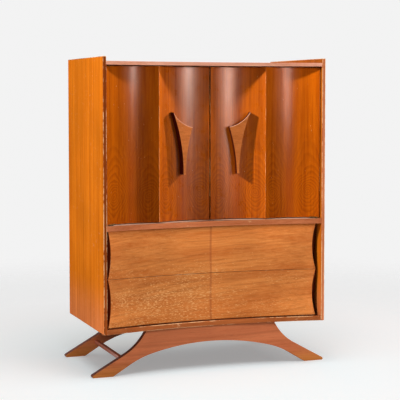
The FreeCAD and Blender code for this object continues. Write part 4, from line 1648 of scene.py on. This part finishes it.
@dataclass
class Studio:
    """Camera, floor, room and lamps."""

    rails: list[Piece]
    legs: list[Piece]
    doors: list[Piece]
    drawers: list[Piece]
    camera_place: Triple = (-1.8117, -4.9049, 1.1239)
    camera_turn: float = math.radians(20.514)
    camera_tilt: float = math.radians(3.514)
    camera_lens: float = 111.10
    camera_shift: float = -0.07
    case_keys: tuple[Lamp, Lamp] = (
        Lamp("left_key", turn=-80, rise=32, far=4.5, size=0.28, light=1.06),
        Lamp("right_key", turn=80, rise=32, far=4.5, size=0.28, light=0.8),
    )
    door_keys: tuple[Lamp, Lamp] = (
        Lamp("left_door_key", turn=-80, rise=34, far=2.2, size=0.1, light=2.35),
        Lamp("right_door_key", turn=80, rise=38, far=2.2, size=0.1, light=1.5),
    )
    soft_box: Lamp = Lamp("soft_box", turn=35, rise=12, far=3.6, size=1.1, light=0.6)
    drawer_box: Lamp = Lamp("drawer_box", turn=-15, rise=34, far=3.6, size=1.1, light=0.37)
    base_box: Lamp = Lamp("base_box", turn=-35, rise=12, far=3.6, size=1.1, light=0.3)
    rail_box: Lamp = Lamp("rail_box", turn=-60, rise=12, far=3.6, size=1.1, light=0.3)
    back_box: Lamp = Lamp("back_box", turn=150, rise=25, far=4.0, size=1.5, light=0.6)
    floor_box: Lamp = Lamp("floor_box", turn=0, rise=70, far=6.0, size=5.0, light=0.84)
    sheens: tuple[SheenLamp, SheenLamp] = (
        SheenLamp((0.79, -2.27, 1.78), wide=0.4, tall=1.15, light=3.4),
        SheenLamp((0.85, -2.27, 1.68), wide=0.5, tall=1.35, light=2.6),
    )

    def build(self) -> None:
        """Sets the whole studio up."""
        bpy.context.scene.view_settings.view_transform = "Standard"
        self.camera()
        floor = Floor().lay()
        Room().light()
        own_light = [floor, *self.rails, *self.legs, *self.doors, *self.drawers]
        for case_key, door_key in zip(self.case_keys, self.door_keys):
            Reach.ALL_BUT.limit(case_key.hang(), own_light)
            Reach.ONLY.limit(door_key.hang(), self.doors)
        soft = self.soft_box.hang()
        soft.visible_glossy = False
        Reach.ALL_BUT.limit(soft, [floor])
        rear_leg, _ = self.legs
        for lamp, pieces in ((self.drawer_box, self.drawers), (self.base_box, [*self.rails, rear_leg]),
                             (self.rail_box, self.rails), (self.back_box, [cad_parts["back_panel"]]),
                             (self.floor_box, [floor])):
            Reach.ONLY.limit(lamp.hang(), pieces)
        for door, sheen in zip(self.doors, self.sheens):
            Reach.ONLY.limit(sheen.hang(f"{door.name}_sheen"), [door])

    def camera(self) -> None:
        """Places the camera at the photograph's viewing angle."""
        data = bpy.data.cameras.new("camera")
        data.lens = self.camera_lens
        data.shift_y = self.camera_shift
        eye = bpy.data.objects.new("camera", data)
        eye.location = self.camera_place
        eye.rotation_euler = (math.pi / 2 - self.camera_tilt, 0, -self.camera_turn)
        bpy.context.scene.collection.objects.link(eye)
        bpy.context.scene.camera = eye


def main() -> None:
    """Builds the highboy's pieces in order, then the studio."""
    logging.basicConfig(level=logging.INFO, format="%(message)s")
    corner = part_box("left_side_panel")[0]
    curve = FrontCurve(half_width=-corner.x, front=corner.y)
    finishes = Finishes()
    rails, legs = Case("case", finishes).build()
    doors = [Door(f"{side}_door", finishes, side, curve).build() for side in Side]
    drawers = [Drawer(f"{level}_drawer", finishes, curve).build() for level in ("upper", "lower")]
    Studio(rails, legs, doors, drawers).build()


if __name__ == "__main__":
    main()
